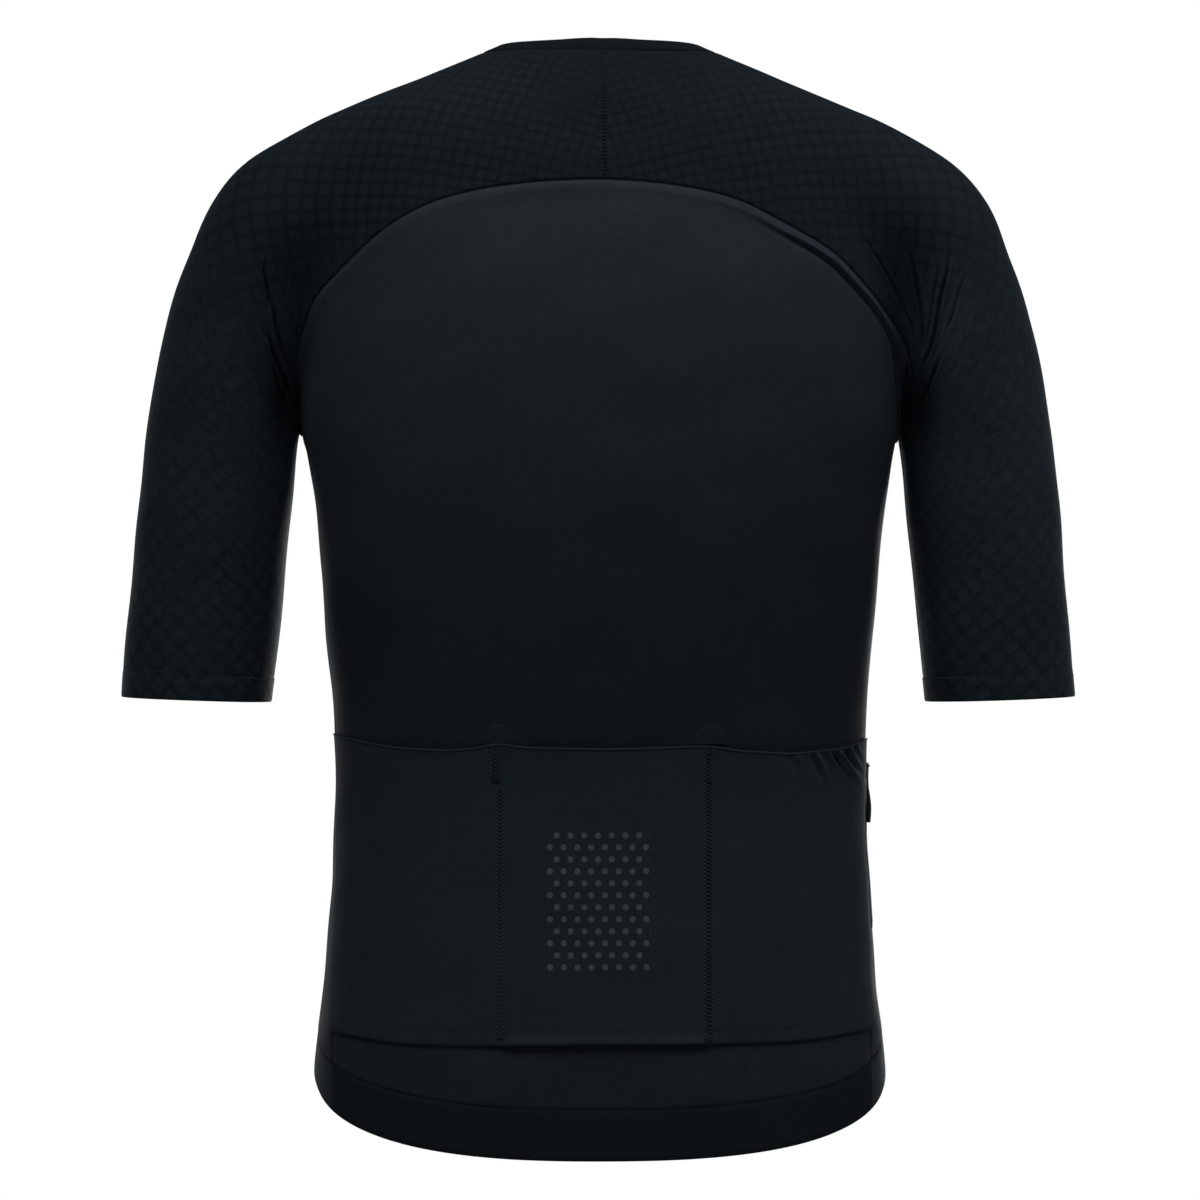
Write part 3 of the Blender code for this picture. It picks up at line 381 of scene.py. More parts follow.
def read(points, known, at):
    """Points of a polyline where a value known at each of them reaches each of at."""
    return np.stack([np.interp(at, known, points[:, axis]) for axis in range(3)], -1)


def along(points, shares):
    """Points at shares of the length of a polyline."""
    points = np.asarray(points, dtype=float)
    length = lengths(points)
    return read(points, length / length[-1], shares)


def curve(points_mm, shares, side=1):
    """A Catmull-Rom curve through points in mm, sampled by length and settled on the form."""
    points = np.asarray(points_mm, dtype=float) * MM * (side, 1, 1)
    padded = np.concatenate([[2 * points[0] - points[1]], points, [2 * points[-1] - points[-2]]])
    t = np.linspace(0, 1, 13)[:-1, None]
    runs = []
    for a, b, c, d in zip(padded[:-3], padded[1:-2], padded[2:-1], padded[3:]):
        runs.append(b + 0.5 * t * (c - a + t * (2*a - 5*b + 4*c - d + t * (3*(b - c) + d - a))))
    runs.append(points[-1:])
    return settle(along(settle(np.concatenate(runs)), shares))


def patch(top, bottom, first, last):
    """Coons patch: rows run from top to bottom, columns from first to last, then settled."""
    u = np.linspace(0, 1, len(top))[None, :, None]
    v = np.linspace(0, 1, len(first))[:, None, None]
    ruled = (1 - v) * top + v * bottom
    ruled += (1 - u) * (first[:, None] - ruled[:, :1]) + u * (last[:, None] - ruled[:, -1:])
    grid = settle(ruled)
    grid[0], grid[-1], grid[:, 0], grid[:, -1] = top, bottom, first, last
    return grid


def hold_back(grid, edges, amount=SEAM_GAP / 2):
    """Move the named edges of a grid inwards, square to the edge and along the form."""
    move = np.zeros_like(grid)
    for edge in edges:
        turned = (0, 0) if edge in ("top", "bottom") else (0, 1)
        lines, shift = grid.swapaxes(*turned), move.swapaxes(*turned)
        at, inner = (0, 1) if edge in ("top", "first") else (-1, -2)
        tangent = unit(np.gradient(lines[at], axis=0))
        inward = lines[inner] - lines[at]
        inward = unit(inward - (inward * tangent).sum(-1, keepdims=True) * tangent)
        shift[at] += amount * inward
    return grid + move


def between(points, at, corners=()):
    """Points at fractional places along the first axis, on Hermite curves that may turn at
    corners."""
    ends = [0, *corners, len(points) - 1]
    out = np.empty((len(at), *points.shape[1:]), dtype=points.dtype)
    for start, stop in zip(ends[:-1], ends[1:]):
        here = (at >= start) & (at <= stop)
        run = points[start:stop + 1]
        out[here] = hermite(np.arange(start, stop + 1.0), run, at[here])
    return out


def closer(points, rows, columns, row_corners=(), column_corners=()):
    """A grid read at fractional rows and columns."""
    points = between(points, rows, row_corners)
    return np.moveaxis(between(np.moveaxis(points, 1, 0), columns, column_corners), 0, 1)


def places(steps, each, near_start=False, near_end=False):
    """Even fractional places, each of them to a step, with more beside a sewn edge."""
    edge = np.array([0.022, 0.044, 0.068, 0.095, 0.125, 0.16, 0.2])
    spots = np.linspace(0, steps, steps * each + 1)
    if near_start:
        spots = np.concatenate([spots[:1], edge, spots[spots > 0.23]])
    if near_end:
        spots = np.concatenate([spots[spots < steps - 0.23], steps - edge[::-1], spots[-1:]])
    return spots


def off_line(p, line):
    """Distance from a line of points, and the share of its length at the nearest place."""
    start = line[:-1]
    run = np.diff(line, axis=0)
    square = np.maximum((run * run).sum(-1), 1e-16)
    length = np.concatenate([[0], np.cumsum(np.sqrt(square))])
    flat = p.reshape(-1, 3)
    best = np.full(len(flat), np.inf)
    share = np.zeros(len(flat))
    for number in range(len(run)):
        away = flat - start[number]
        t = np.clip(away @ run[number] / square[number], 0, 1)
        gap = np.linalg.norm(away - t[:, None] * run[number], axis=-1)
        nearer = gap < best
        best = np.where(nearer, gap, best)
        share = np.where(nearer, length[number] + t * math.sqrt(square[number]), share)
    return best.reshape(p.shape[:-1]), share.reshape(p.shape[:-1]) / length[-1]


def ease(value, low, high):
    """From 0 at low to 1 at high, level at both ends."""
    t = np.clip((value - low) / (high - low), 0, 1)
    return t * t * (3 - 2 * t)


def bell(value, middle, width):
    """1 at the middle, falling off on both sides within the width."""
    return np.exp(-((value - middle) / width)**2)


# ---------------------------------------------------------------- seams of this jersey
def arch_shares():
    """Closer together near the underarm."""
    t = np.linspace(0, 1, ARCH_STEPS + 1)
    return 0.65 * t + 0.35 * t * t


def even(steps):
    return np.linspace(0, 1, steps + 1)


def arch(side):
    return curve(ARCH[side], arch_shares(), side)


def raglan(side):
    return curve(RAGLAN, arch_shares(), side)


def neck_back(side):
    return curve(NECK_BACK, even(NECK_BACK_STEPS), side)


def neck_front(side):
    return curve(NECK_FRONT, even(NECK_FRONT_STEPS), side)


def neck_top(side):
    """Top edge of the neck band, with as many points over the back and the front as the seam."""
    shares = np.concatenate([0.64 * even(NECK_BACK_STEPS),
                             0.64 + 0.36 * even(NECK_FRONT_STEPS)[1:]])
    return curve(NECK_TOP, shares, side)


def side_height(steps, bottom):
    return np.linspace(UNDERARM[2] * MM, bottom, steps + 1)


def seam_depth(height):
    return table_at(SIDE_SEAM, height / MM)[..., 0] * MM


def side_points(heights, side):
    """Points of the side seam: rays straight out at the seam's distance behind the middle."""
    points = cast_level(side * 120 * MM, seam_depth(heights), heights, (side, 0, 0), 90 * MM)
    points[0] = settle(np.array(UNDERARM) * MM * (side, 1, 1))
    return points


def level_ring(height, drop, angles, side=1):
    """Where a plane that drops towards the back meets the form; angles are from one side."""
    way = np.stack([side * np.cos(angles), np.sin(angles), -drop * np.sin(angles)], -1)
    return cast(np.array((0.0, 0.0, height)), way, FAR_OUT)


def seam_angle(height, drop):
    """Angle at which the side seam meets such a plane, found by going round a few times."""
    depth = 40 * MM
    for _ in range(12):
        level = height - drop * depth
        depth = seam_depth(np.array(level))
    point = side_points(np.array([0, level]), 1)[1]
    return math.atan2(point[1], point[0])


def spread(angles_from, angles_to, steps):
    """Angles that give even steps round an oval about 1.6 times as wide as deep."""
    squash = 1.6
    flat = np.unwrap(np.arctan2(np.sin([angles_from, angles_to]) * squash,
                                np.cos([angles_from, angles_to])))
    t = np.linspace(flat[0], flat[1], steps + 1)
    return np.unwrap(np.arctan2(np.sin(t) / squash, np.cos(t)))


def hem_lines(steps, side=0):
    """Seam above the band and lower edge, over the back (0) or one front (its side)."""
    lines = []
    for height, back_drop in ((HEM_SEAM_HEIGHT, HEM_SEAM_DROP), (HEM_HEIGHT, HEM_DROP)):
        start = seam_angle(height, back_drop)
        if side == 0:
            lines.append(level_ring(height, back_drop, spread(start, math.pi - start, steps)))
            continue
        stop = -math.pi / 2 + math.asin(ZIP_HALF / (100 * MM))
        angles = spread(start, stop, steps)
        drop = np.where(angles > 0, back_drop, HEM_DROP)
        line = level_ring(height, drop, angles, side)
        line[-1, 0] = side * ZIP_HALF
        lines.append(line)
    return lines


def shoulder_arc(back, front, ridge, lean, shares):
    """A line over the shoulder: rays from a centre, in the plane of the ridge point and the y
    axis, swept from the back seam over the ridge to the front seam."""
    middle = (back + front) / 2
    centre = middle + lean * (ridge - middle)
    up = unit(ridge - centre)
    across = unit(np.array((0, 1.0, 0)) - up[1] * up)
    begin = math.atan2((back - centre) @ across, (back - centre) @ up)
    finish = math.atan2((front - centre) @ across, (front - centre) @ up)
    if np.allclose(back, front):
        begin, finish = math.pi, -math.pi
    angle = np.linspace(begin, finish, 97)[:, None]
    line = cast(centre, np.cos(angle) * up + np.sin(angle) * across, 130 * MM)
    line[0], line[-1] = back, front
    return along(line, shares)


def sleeve_shares():
    """Round the arm from the back seam: close together over the folds, then wider."""
    steps = np.concatenate([np.full(11, 0.5), np.linspace(0.6, 1.15, 6),
                            np.full(CENTRE_BACK_STEPS + NECK_BACK_STEPS - 17, 1.2)])
    total = np.concatenate([[0], np.cumsum(steps)])
    return total / total[-1]


def sleeve_rows(side):
    """Rows from the neck over the shoulder to the ring through the underarm, then to the cuff."""
    back = arch(side)[::-1]
    front = raglan(side)[::-1]
    shares = sleeve_shares()
    collar = neck_back(side)
    centre = settle(along([back[0], (0, 74 * MM, -40 * MM), collar[0]], even(24)))
    centre[:, 0] = 0
    centre = along(centre, even(CENTRE_BACK_STEPS))
    first = np.concatenate([centre[:-1], collar])
    guides = [first]
    guides_at = [0.0]
    for share, x, z, lean in SHOULDER_ARCS:
        start = at_row(back, share)
        stop = at_row(front, share)
        ridge = settle(np.array((side * x, 0, z)) * MM)
        guides.append(shoulder_arc(start, stop, ridge, lean, shares))
        guides_at.append(share)
    outer = settle(np.array((side * UNDERARM_RING[0], -1.0, UNDERARM_RING[1])) * MM)
    guides.append(shoulder_arc(back[-1], back[-1], outer, 0.5, shares))
    guides_at.append(1.0)
    rows = hermite(np.array(guides_at), np.array(guides), even(ARCH_STEPS))
    u = np.linspace(0, 1, len(first))[:, None]
    rows += (1 - u) * (back - rows[:, 0])[:, None] + u * (front - rows[:, -1])[:, None]
    rows = settle(rows)
    rows[:, 0], rows[:, -1] = back, front
    rows[0] = first
    tube = [arm_ring(side, t, shares) for t in np.linspace(0, 1, TUBE_ROWS + 1)[1:]]
    return np.concatenate([rows, tube])


def at_row(line, share):
    """The point at a share of a line's rows."""
    return read(line, np.arange(len(line)), share * (len(line) - 1))


def arm_ring(side, t, shares):
    """A ring round the arm, t from the underarm ring (0) to the cuff (1)."""
    underarm = np.array(UNDERARM) * MM
    outer = np.array((UNDERARM_RING[0], -1.0, UNDERARM_RING[1])) * MM
    start = (underarm + outer) / 2
    stop = np.array((258.3, -12.0, CUFF_HEIGHT / MM)) * MM
    centre = (1 - t) * start + t * stop
    centre[0] = table_at(ARM, np.array(centre[2] / MM))[0] * MM
    tilt = (1 - t) * math.atan2(*(outer - underarm)[[2, 0]]) - t * CUFF_TILT
    up = np.array((math.cos(tilt), 0, math.sin(tilt)))
    angle = np.linspace(math.pi, -math.pi, 97)[:, None]
    way = np.cos(angle) * up + np.sin(angle) * np.array((0, 1.0, 0))
    line = cast(centre, way, 75 * MM)
    return along(line, shares) * (side, 1, 1)


# ---------------------------------------------------------------- heights above the form
def fold_heights(p, side):
    """Broad folds drawn to the underarm: a bell across each line that dies away towards the
    line's ends and near the arched seam."""
    off_seam, _ = off_line(p, curve(ARCH[side], even(60), side))
    height = np.zeros(p.shape[:-1])
    for start, middle, end, half, deep in FOLDS[side]:
        line = np.array([start, middle, end], dtype=float) * MM * (side, 1, 1)
        t = np.linspace(0, 1, 15)[:, None]
        route = (1 - t)**2 * line[0] + 2 * t * (1 - t) * (2 * line[1] - line[[0, 2]].mean(0))
        away, place = off_line(p, route + t**2 * line[2])
        swell = np.sin(np.pi * np.clip(0.12 + 0.8 * place, 0, 1))
        height -= deep * MM * swell * bell(away, 0, half * MM)
    return FOLD_SHOWN * height * np.clip(off_seam / FOLD_CLEAR, 0, 1)


def crease_heights(p, creases, side):
    """Narrow troughs with a soft lip on either side: a bell across the line, less two lower bells
    beside it, that start and end in a taper."""
    height = np.zeros(p.shape[:-1])
    for points, half, deep in creases[side]:
        away, place = off_line(p, curve(points, even(24), side))
        across = away / (half * MM)
        swell = ease(place, 0, 0.35) * (0.08 + 0.92 * ease(1 - place, 0, 0.32))
        height -= deep * MM * swell * (bell(across, 0, 1) - 0.36 * bell(across, 2.0, 0.85))
    return height


def wave_heights(p):
    """Shallow waves: a few sines across three directions, none of them in step."""
    height = np.zeros(p.shape[:-1])
    for way, length, start, high in WAVES:
        across = p @ unit(np.array(way)) / (length * MM)
        wobble = 0.8 * np.sin(p[..., 2] / (53 * MM) + start)
        height += high * MM * np.sin(2 * np.pi * across + wobble + start)
    return height


def sewn_edges(p, *lines):
    """How far the sewn edges turn down, a bell across each seam line, and a mark that is 1 on the
    lines and falls off within a thread's width."""
    height = np.zeros(p.shape[:-1])
    mark = np.zeros(p.shape[:-1])
    for line in lines:
        away, _ = off_line(p, line)
        height -= SEAM_DIP * bell(away, 0, SEAM_DIP_WIDTH)
        mark = np.maximum(mark, bell(away, 0, SEAM_MARK_WIDTH))
    return height, mark


def allowance_height(p, seam):
    """The allowance pressed down under the arched seam: the cloth climbs away from it, drops off
    sharply where the trough is deep, and gently elsewhere."""
    away, _ = off_line(p, seam)
    x = p[..., 0] / MM
    high = np.interp(x, *ALLOWANCE[:, [0, 1]].T) * MM
    deep = np.interp(x, *ALLOWANCE[:, [0, 2]].T) * MM
    away = away / MM
    sharp = np.clip(deep / MM, 0, 1)
    ridge = ease(away, 0.2, 5.6) * (1 - ease(away, 5.2 + 0.4 * sharp, 14 - 6.6 * sharp))
    trough = bell(away, 7.6, np.where(away < 7.6, 1.1, 2.6))
    return high * ridge - deep * trough


# ---------------------------------------------------------------- cloth
def quads(index):
    """Cells of an index grid."""
    cells = np.stack([index[:-1, :-1], index[:-1, 1:], index[1:, 1:], index[1:, :-1]], -1)
    return cells.reshape(-1, 4)


def facing_out(points, faces):
    """Whether the volume that the faces close comes out positive."""
    total = 0.0
    for second in range(1, faces.shape[1] - 1):
        a, b, c = points[faces[:, 0]], points[faces[:, second]], points[faces[:, second + 1]]
        total += (np.cross(a, b) * c).sum()
    return total > 0


def add_object(name, points, faces, surface, marks=None, sharp=60):
    """A smooth object at the origin; marks are the UV places of its faces' corners."""
    mesh = bpy.data.meshes.new(name)
    mesh.from_pydata(points.tolist(), [], faces.tolist())
    if marks is not None:
        layer = mesh.uv_layers.new(name="cut")
        layer.data.foreach_set("uv", marks.astype(np.float32).ravel())
    mesh.materials.append(surface)
    mesh.shade_smooth()
    mesh.set_sharp_from_angle(angle=math.radians(sharp))
    item = bpy.data.objects.new(name, mesh)
    bpy.context.scene.collection.objects.link(item)
    return item


def add_closed(name, points, faces, surface, sharp=60):
    """A closed object whose faces are turned outwards."""
    faces = faces if facing_out(points, faces) else faces[:, ::-1]
    return add_object(name, points, faces, surface, sharp=sharp)


def wall(name, outer, inner, surface, marks, closed_from=None, sewn=None):
    """A closed shell between two grids of points; columns are joined from the row closed_from.
    The attribute sewn is 1 on seam lines."""
    count = outer.shape[0] * outer.shape[1]
    laid = np.arange(count).reshape(outer.shape[:2])
    joined = laid.copy()
    if closed_from is not None:
        joined[closed_from:, -1] = joined[closed_from:, 0]
    points = np.concatenate([outer.reshape(-1, 3), inner.reshape(-1, 3)])
    outside = quads(joined)
    edges = np.concatenate([outside[:, [corner, (corner + 1) % 4]] for corner in range(4)])
    key = edges[:, 0].astype(np.int64) * count + edges[:, 1]
    back = edges[:, 1].astype(np.int64) * count + edges[:, 0]
    rim = edges[~np.isin(key, back)]
    rim = np.stack([rim[:, 1], rim[:, 0], rim[:, 0] + count, rim[:, 1] + count], -1)
    faces = np.concatenate([outside, outside[:, ::-1] + count, rim])
    corners = np.concatenate([quads(laid), quads(laid)[:, ::-1], rim % count])
    if not facing_out(points, faces):
        faces = faces[:, ::-1]
        corners = corners[:, ::-1]
    used, renumbered = np.unique(faces, return_inverse=True)
    places_on_cut = marks.reshape(-1, 2)[corners]
    item = add_object(name, points[used], renumbered.reshape(faces.shape), surface, places_on_cut)
    if sewn is not None:
        layer = item.data.attributes.new("sewn", "FLOAT", "POINT")
        layer.data.foreach_set("value", np.tile(sewn.ravel(), 2)[used].astype(np.float32))
    return item


def grid_normals(grid, closed_from=None):
    """The form's own normals, or where a panel turns away from them, in the valley under the arm
    and in folds, normals from the differences along its rows and columns."""
    down = np.gradient(grid, axis=0, edge_order=2)
    across = np.gradient(grid, axis=1, edge_order=2)
    if closed_from is not None:
        ring = grid[closed_from:, :-1]
        around = (np.roll(ring, -1, axis=1) - np.roll(ring, 1, axis=1)) / 2
        across[closed_from:, :-1] = around
        across[closed_from:, -1] = around[:, 0]
    normal = unit(np.cross(across, down))
    true = unit(uphill(grid))
    normal *= np.sign((normal * true).sum())
    agree = np.clip(((normal * true).sum(-1, keepdims=True) - 0.75) / 0.2, 0, 1)
    return unit(agree * true + (1 - agree) * normal)


def cloth(name, grid, surface, height, edges=(), marks=None, thickness=SHEET, closed_from=None,
          sewn=None):
    """A thin shell whose outside lies at a height above the form, and that outside's points."""
    marks = length_marks(grid) if marks is None else marks
    grid = hold_back(grid, edges)
    lift = np.broadcast_to(height, grid.shape[:2])[..., None]
    outer = grid + lift * grid_normals(grid, closed_from)
    inner = outer - thickness * grid_normals(outer, closed_from)
    return wall(name, outer, inner, surface, marks, closed_from, sewn), outer


def length_marks(grid):
    """UV places in metres: along each row from its middle column, and down the columns."""
    across = np.linalg.norm(np.diff(grid, axis=1), axis=-1)
    across = np.concatenate([0 * across[:, :1], np.cumsum(across, axis=1)], axis=1)
    middle = grid.shape[1] // 2
    across = across - across[:, middle:middle + 1]
    down = np.linalg.norm(np.diff(grid, axis=0), axis=-1)
    down = np.concatenate([0 * down[:1], np.cumsum(down, axis=0)])
    return np.stack([across, -down], -1)


def flattened(grid):
    """The grid laid flat with its angles kept: complex places, found by least squares over its
    triangles, with the two ends of its last row pinned at their real width."""
    rows, columns = grid.shape[:2]
    index = np.arange(rows * columns).reshape(rows, columns)
    a, b, c, d = index[:-1, :-1], index[:-1, 1:], index[1:, 1:], index[1:, :-1]
    corners = np.concatenate([np.stack([a, b, c], -1).reshape(-1, 3),
                              np.stack([a, c, d], -1).reshape(-1, 3)])
    one, two, three = np.moveaxis(grid.reshape(-1, 3)[corners], 1, 0)
    base = np.linalg.norm(two - one, axis=-1)
    along_base = ((three - one) * unit(two - one)).sum(-1)
    rise = np.linalg.norm(three - one - along_base[:, None] * unit(two - one), axis=-1)
    third = along_base + 1j * rise
    weights = np.stack([third - base, -third, base + 0j], -1) / np.sqrt(base * rise)[:, None]
    whole = np.zeros((len(corners), rows * columns), complex)
    np.add.at(whole, (np.arange(len(corners))[:, None], corners), weights)
    width = np.linalg.norm(np.diff(grid[-1], axis=0), axis=-1).sum()
    pinned = index[-1, [0, -1]]
    ends = np.array([-width / 2, width / 2])
    free = np.setdiff1d(np.arange(rows * columns), pinned)
    loose = whole[:, free]
    flat = np.zeros(rows * columns, complex)
    flat[pinned] = ends
    flat[free] = np.linalg.solve(loose.conj().T @ loose, -loose.conj().T @ (whole[:, pinned] @ ends))
    return flat.reshape(rows, columns)


def knit_marks(rows, side):
    """Where the net-like knit lies on a sleeve's rows: the flat cut, turned so that the sleeve
    runs up, on a scale that grows by LATTICE_CLOSER for each metre up."""
    flat = flattened(rows)
    up = (flat[ARCH_STEPS] - flat[-1]).mean()
    turned = flat / (up / abs(up))
    grown = (np.exp(LATTICE_CLOSER * turned) - 1) / LATTICE_CLOSER
    return np.stack([side * grown.imag, grown.real], -1)


# ---------------------------------------------------------------- panels
def zip_line(heights, x):
    """Points on the front at one x and the given heights: rays straight forward."""
    return cast_level(x, 0, heights, (0, -1, 0), 150 * MM)


def back_grid():
    """Rows from the arched seam down to the hem seam, columns from the left side to the right."""
    top = np.concatenate([arch(1), arch(-1)[::-1][1:]])
    bottom = hem_lines(2 * ARCH_STEPS)[0]
    left = side_points(side_height(PANEL_ROWS, bottom[0, 2]), 1)
    right = side_points(side_height(PANEL_ROWS, bottom[-1, 2]), -1)
    left[-1], right[-1] = bottom[0], bottom[-1]
    left[0], right[0] = top[0], top[-1]
    grid = patch(top, bottom, left, right)
    down = places(PANEL_ROWS, BACK_FINE[0], False, True)
    down = np.concatenate([np.linspace(0, 0.36, 19), down[down > 0.37]])
    return settle(closer(grid, down, places(2 * ARCH_STEPS, BACK_FINE[1], True, True)), 6)


def back_panel(surface):
    grid = back_grid()
    seam = np.concatenate([curve(ARCH[1], even(80), 1), curve(ARCH[-1], even(80), -1)[::-1]])
    height, sewn = sewn_edges(grid, seam, grid[-1], grid[:, 0], grid[:, -1])
    height += fold_heights(grid, 1) + fold_heights(grid, -1) + wave_heights(grid)
    height += allowance_height(grid, seam)
    return cloth("back_cloth", grid, surface, height, ("top", "bottom", "first", "last"),
                 sewn=sewn)


def front_panel(side, surface):
    """Rows from the raglan and neck seams down to the hem seam, columns from side to zip."""
    top = np.concatenate([raglan(side), neck_front(side)[1:]])
    top[-1, 0] = side * ZIP_HALF
    bottom = hem_lines(ARCH_STEPS + NECK_FRONT_STEPS, side)[0]
    bottom[-1, 0] = side * ZIP_HALF
    outer = side_points(side_height(PANEL_ROWS, bottom[0, 2]), side)
    outer[0], outer[-1] = top[0], bottom[0]
    heights = np.linspace(top[-1, 2], bottom[-1, 2], PANEL_ROWS + 1)
    centre = zip_line(heights, side * ZIP_HALF)
    centre[0], centre[-1] = top[-1], bottom[-1]
    grid = patch(top, bottom, outer, centre)
    steps = ARCH_STEPS + NECK_FRONT_STEPS
    grid = settle(closer(grid, places(PANEL_ROWS, FRONT_FINE[0], True, True),
                         places(steps, FRONT_FINE[1], True, True),
                         column_corners=(ARCH_STEPS,)), 6)
    height, sewn = sewn_edges(grid, grid[0], grid[-1], grid[:, 0], grid[:, -1])
    height += FRONT_WAVES * wave_heights(grid)
    return cloth("front_cloth_" + SIDES[side], grid, surface, height,
                 ("top", "bottom", "first", "last"), sewn=sewn)


def sleeve(side, surface):
    """Rows from the centre-back seam and neck over the shoulder and down to the cuff, columns
    from the arched seam round to the front seam."""
    coarse = sleeve_rows(side)
    down = np.concatenate([places(YOKE_STEPS, SLEEVE_FINE[0], True),
                           YOKE_STEPS + places(ARCH_STEPS - YOKE_STEPS, SLEEVE_FINE[1])[1:],
                           ARCH_STEPS + places(TUBE_ROWS, TUBE_FINE, False, True)[1:]])
    hem_place = len(coarse) - 1 - CUFF_HEM / np.linalg.norm(coarse[-1, 0] - coarse[-2, 0])
    down = np.union1d(down[abs(down - hem_place) > 0.12], hem_place + np.linspace(-0.1, 0.1, 7))
    across = np.concatenate([places(CREASED_STEPS, SLEEVE_FINE[2], True), CREASED_STEPS
                             + places(coarse.shape[1] - 1 - CREASED_STEPS, SLEEVE_FINE[3],
                                      False, True)[1:]])
    corners = ((ARCH_STEPS,), (CENTRE_BACK_STEPS,))
    grid = settle(closer(coarse, down, across, *corners), 6)
    marks = knit_marks(coarse, side)
    marks = closer(marks, down, across, *corners)
    turn = int(np.searchsorted(down, ARCH_STEPS))
    grid[turn:, -1] = grid[turn:, 0]
    height, sewn = sewn_edges(grid, grid[:turn + 1, 0], grid[:turn + 1, -1], grid[0],
                              grid[turn:, 0])
    height += fold_heights(grid, side) + crease_heights(grid, CREASES, side)
    height += crease_heights(grid, FRONT_CREASES, side) + wave_heights(grid)
    off_cuff, _ = off_line(grid, grid[-1])
    height += CUFF_DOUBLED * ease(CUFF_HEM - off_cuff, -0.6 * MM, 0.8 * MM)
    height -= 0.3 * MM * bell(off_cuff, CUFF_HEM, 1.1 * MM)
    height -= CUFF_DOUBLED * bell(off_cuff, 0, 0.8 * MM)
    held = hold_back(grid[:turn + 1], ("top", "first", "last"))
    under = unit(grid[turn + 1, 0] - grid[turn, 0])
    held[-1, 0] = grid[turn, 0] + SEAM_GAP * under
    held[-1, -1] = held[-1, 0]
    grid = np.concatenate([held, grid[turn + 1:]])
    height[turn:, -1] = height[turn:, 0]
    piece, outer = cloth("sleeve_cloth_" + SIDES[side], grid, surface, height, marks=marks,
                         closed_from=turn, sewn=sewn)
    row = abs(off_cuff.mean(1) - CUFF_HEM).argmin()
    return piece, outer[row, ::4]


def collar(surface):
    """The neck band: rows from its folded top edge down to the neck seam."""
    seam_half = np.concatenate([neck_back(1), neck_front(1)[1:]])
    top_half = neck_top(1)
    for line in (seam_half, top_half):
        line[0, 0] = 0
        line[-1, 0] = ZIP_HALF
    mirror = np.array((-1, 1, 1))
    seam = np.concatenate([seam_half[::-1], seam_half[1:] * mirror])
    top = np.concatenate([top_half[::-1], top_half[1:] * mirror])
    grid = np.stack([top, settle((seam + top) / 2), seam])
    grid = settle(closer(grid, np.linspace(0, 2, 15), np.linspace(0, grid.shape[1] - 1, 225)), 6)
    off_top, _ = off_line(grid, grid[0])
    height, sewn = sewn_edges(grid, grid[-1])
    height -= 0.35 * MM * bell(off_top, 0, 0.7 * MM)
    height += 0.12 * MM * np.sin(grid[..., 0] / (9 * MM))
    return cloth("neck_band_cloth", grid, surface, height, ("bottom", "first", "last"),
                 thickness=BAND_SHEET, sewn=sewn)


def hem_band(side, surface):
    """Back gripper (0) or the hem band of one front (its side)."""
    steps = 2 * ARCH_STEPS if side == 0 else ARCH_STEPS + NECK_FRONT_STEPS
    seam, edge = hem_lines(steps, side)
    grid = np.stack([seam, settle((seam + edge) / 2), edge])
    grid = settle(closer(grid, np.linspace(0, 2, 2 * HEM_FINE[0] + 1),
                         np.linspace(0, steps, steps * HEM_FINE[1] + 1)), 6)
    off_edge, _ = off_line(grid, grid[-1])
    height, sewn = sewn_edges(grid, grid[0])
    height -= 0.8 * MM * bell(off_edge, 0, 0.9 * MM)
    height += 0.5 * wave_heights(grid)
    name = "hem_cloth_" + SIDES[side] if side else "gripper_back"
    return cloth(name, grid, surface, height, ("top", "first", "last"), thickness=BAND_SHEET,
                 sewn=sewn)


# ---------------------------------------------------------------- pockets
def pocket_columns():
    """Places across the back, closer together over the gathers on the wearer's right."""
    left = np.linspace(math.radians(9), math.radians(90), 14)
    right = np.linspace(math.radians(90), math.radians(134), 8)[1:]
    gathered = np.linspace(math.radians(134), math.radians(164), 21)[1:]
    rest = np.linspace(math.radians(164), math.radians(171), 3)[1:]
    return np.concatenate([left, right, gathered, rest])


def pocket_grid():
    """Rows from the pockets' edge down to the bottom seam, columns across the back."""
    flat = pocket_columns()
    x = 171 * MM * np.cos(flat)
    t = np.array(POCKET_ROWS)[:, None]
    top = np.interp(x / MM, *POCKET_TOP.T) * MM
    bottom = np.interp(x / MM, *POCKET_BOTTOM.T) * MM
    z = (1 - t) * top + t * bottom
    angle = np.arctan2(np.sin(flat), 1.6 * np.cos(flat))
    limit = np.array([[seam_angle(h, 0) for h in line[[0, -1]]] for line in z])
    share = (angle - angle[0]) / (angle[-1] - angle[0])
    angle = limit[:, :1] * (1 - share) + (math.pi - limit[:, 1:]) * share
    way = np.stack([np.cos(angle), np.sin(angle), 0 * angle], -1)
    start = np.stack([0 * z, 0 * z, z], -1)
    grid = cast(start, way, FAR_OUT)
    down = np.concatenate([np.linspace(0, 1, 9), np.linspace(1, 3, 25)[1:],
                           np.linspace(3, 5, 41)[1:], np.linspace(5, 6, 27)[1:]])
    return settle(closer(grid, down, places(len(flat) - 1, 5, True, True)), 6)


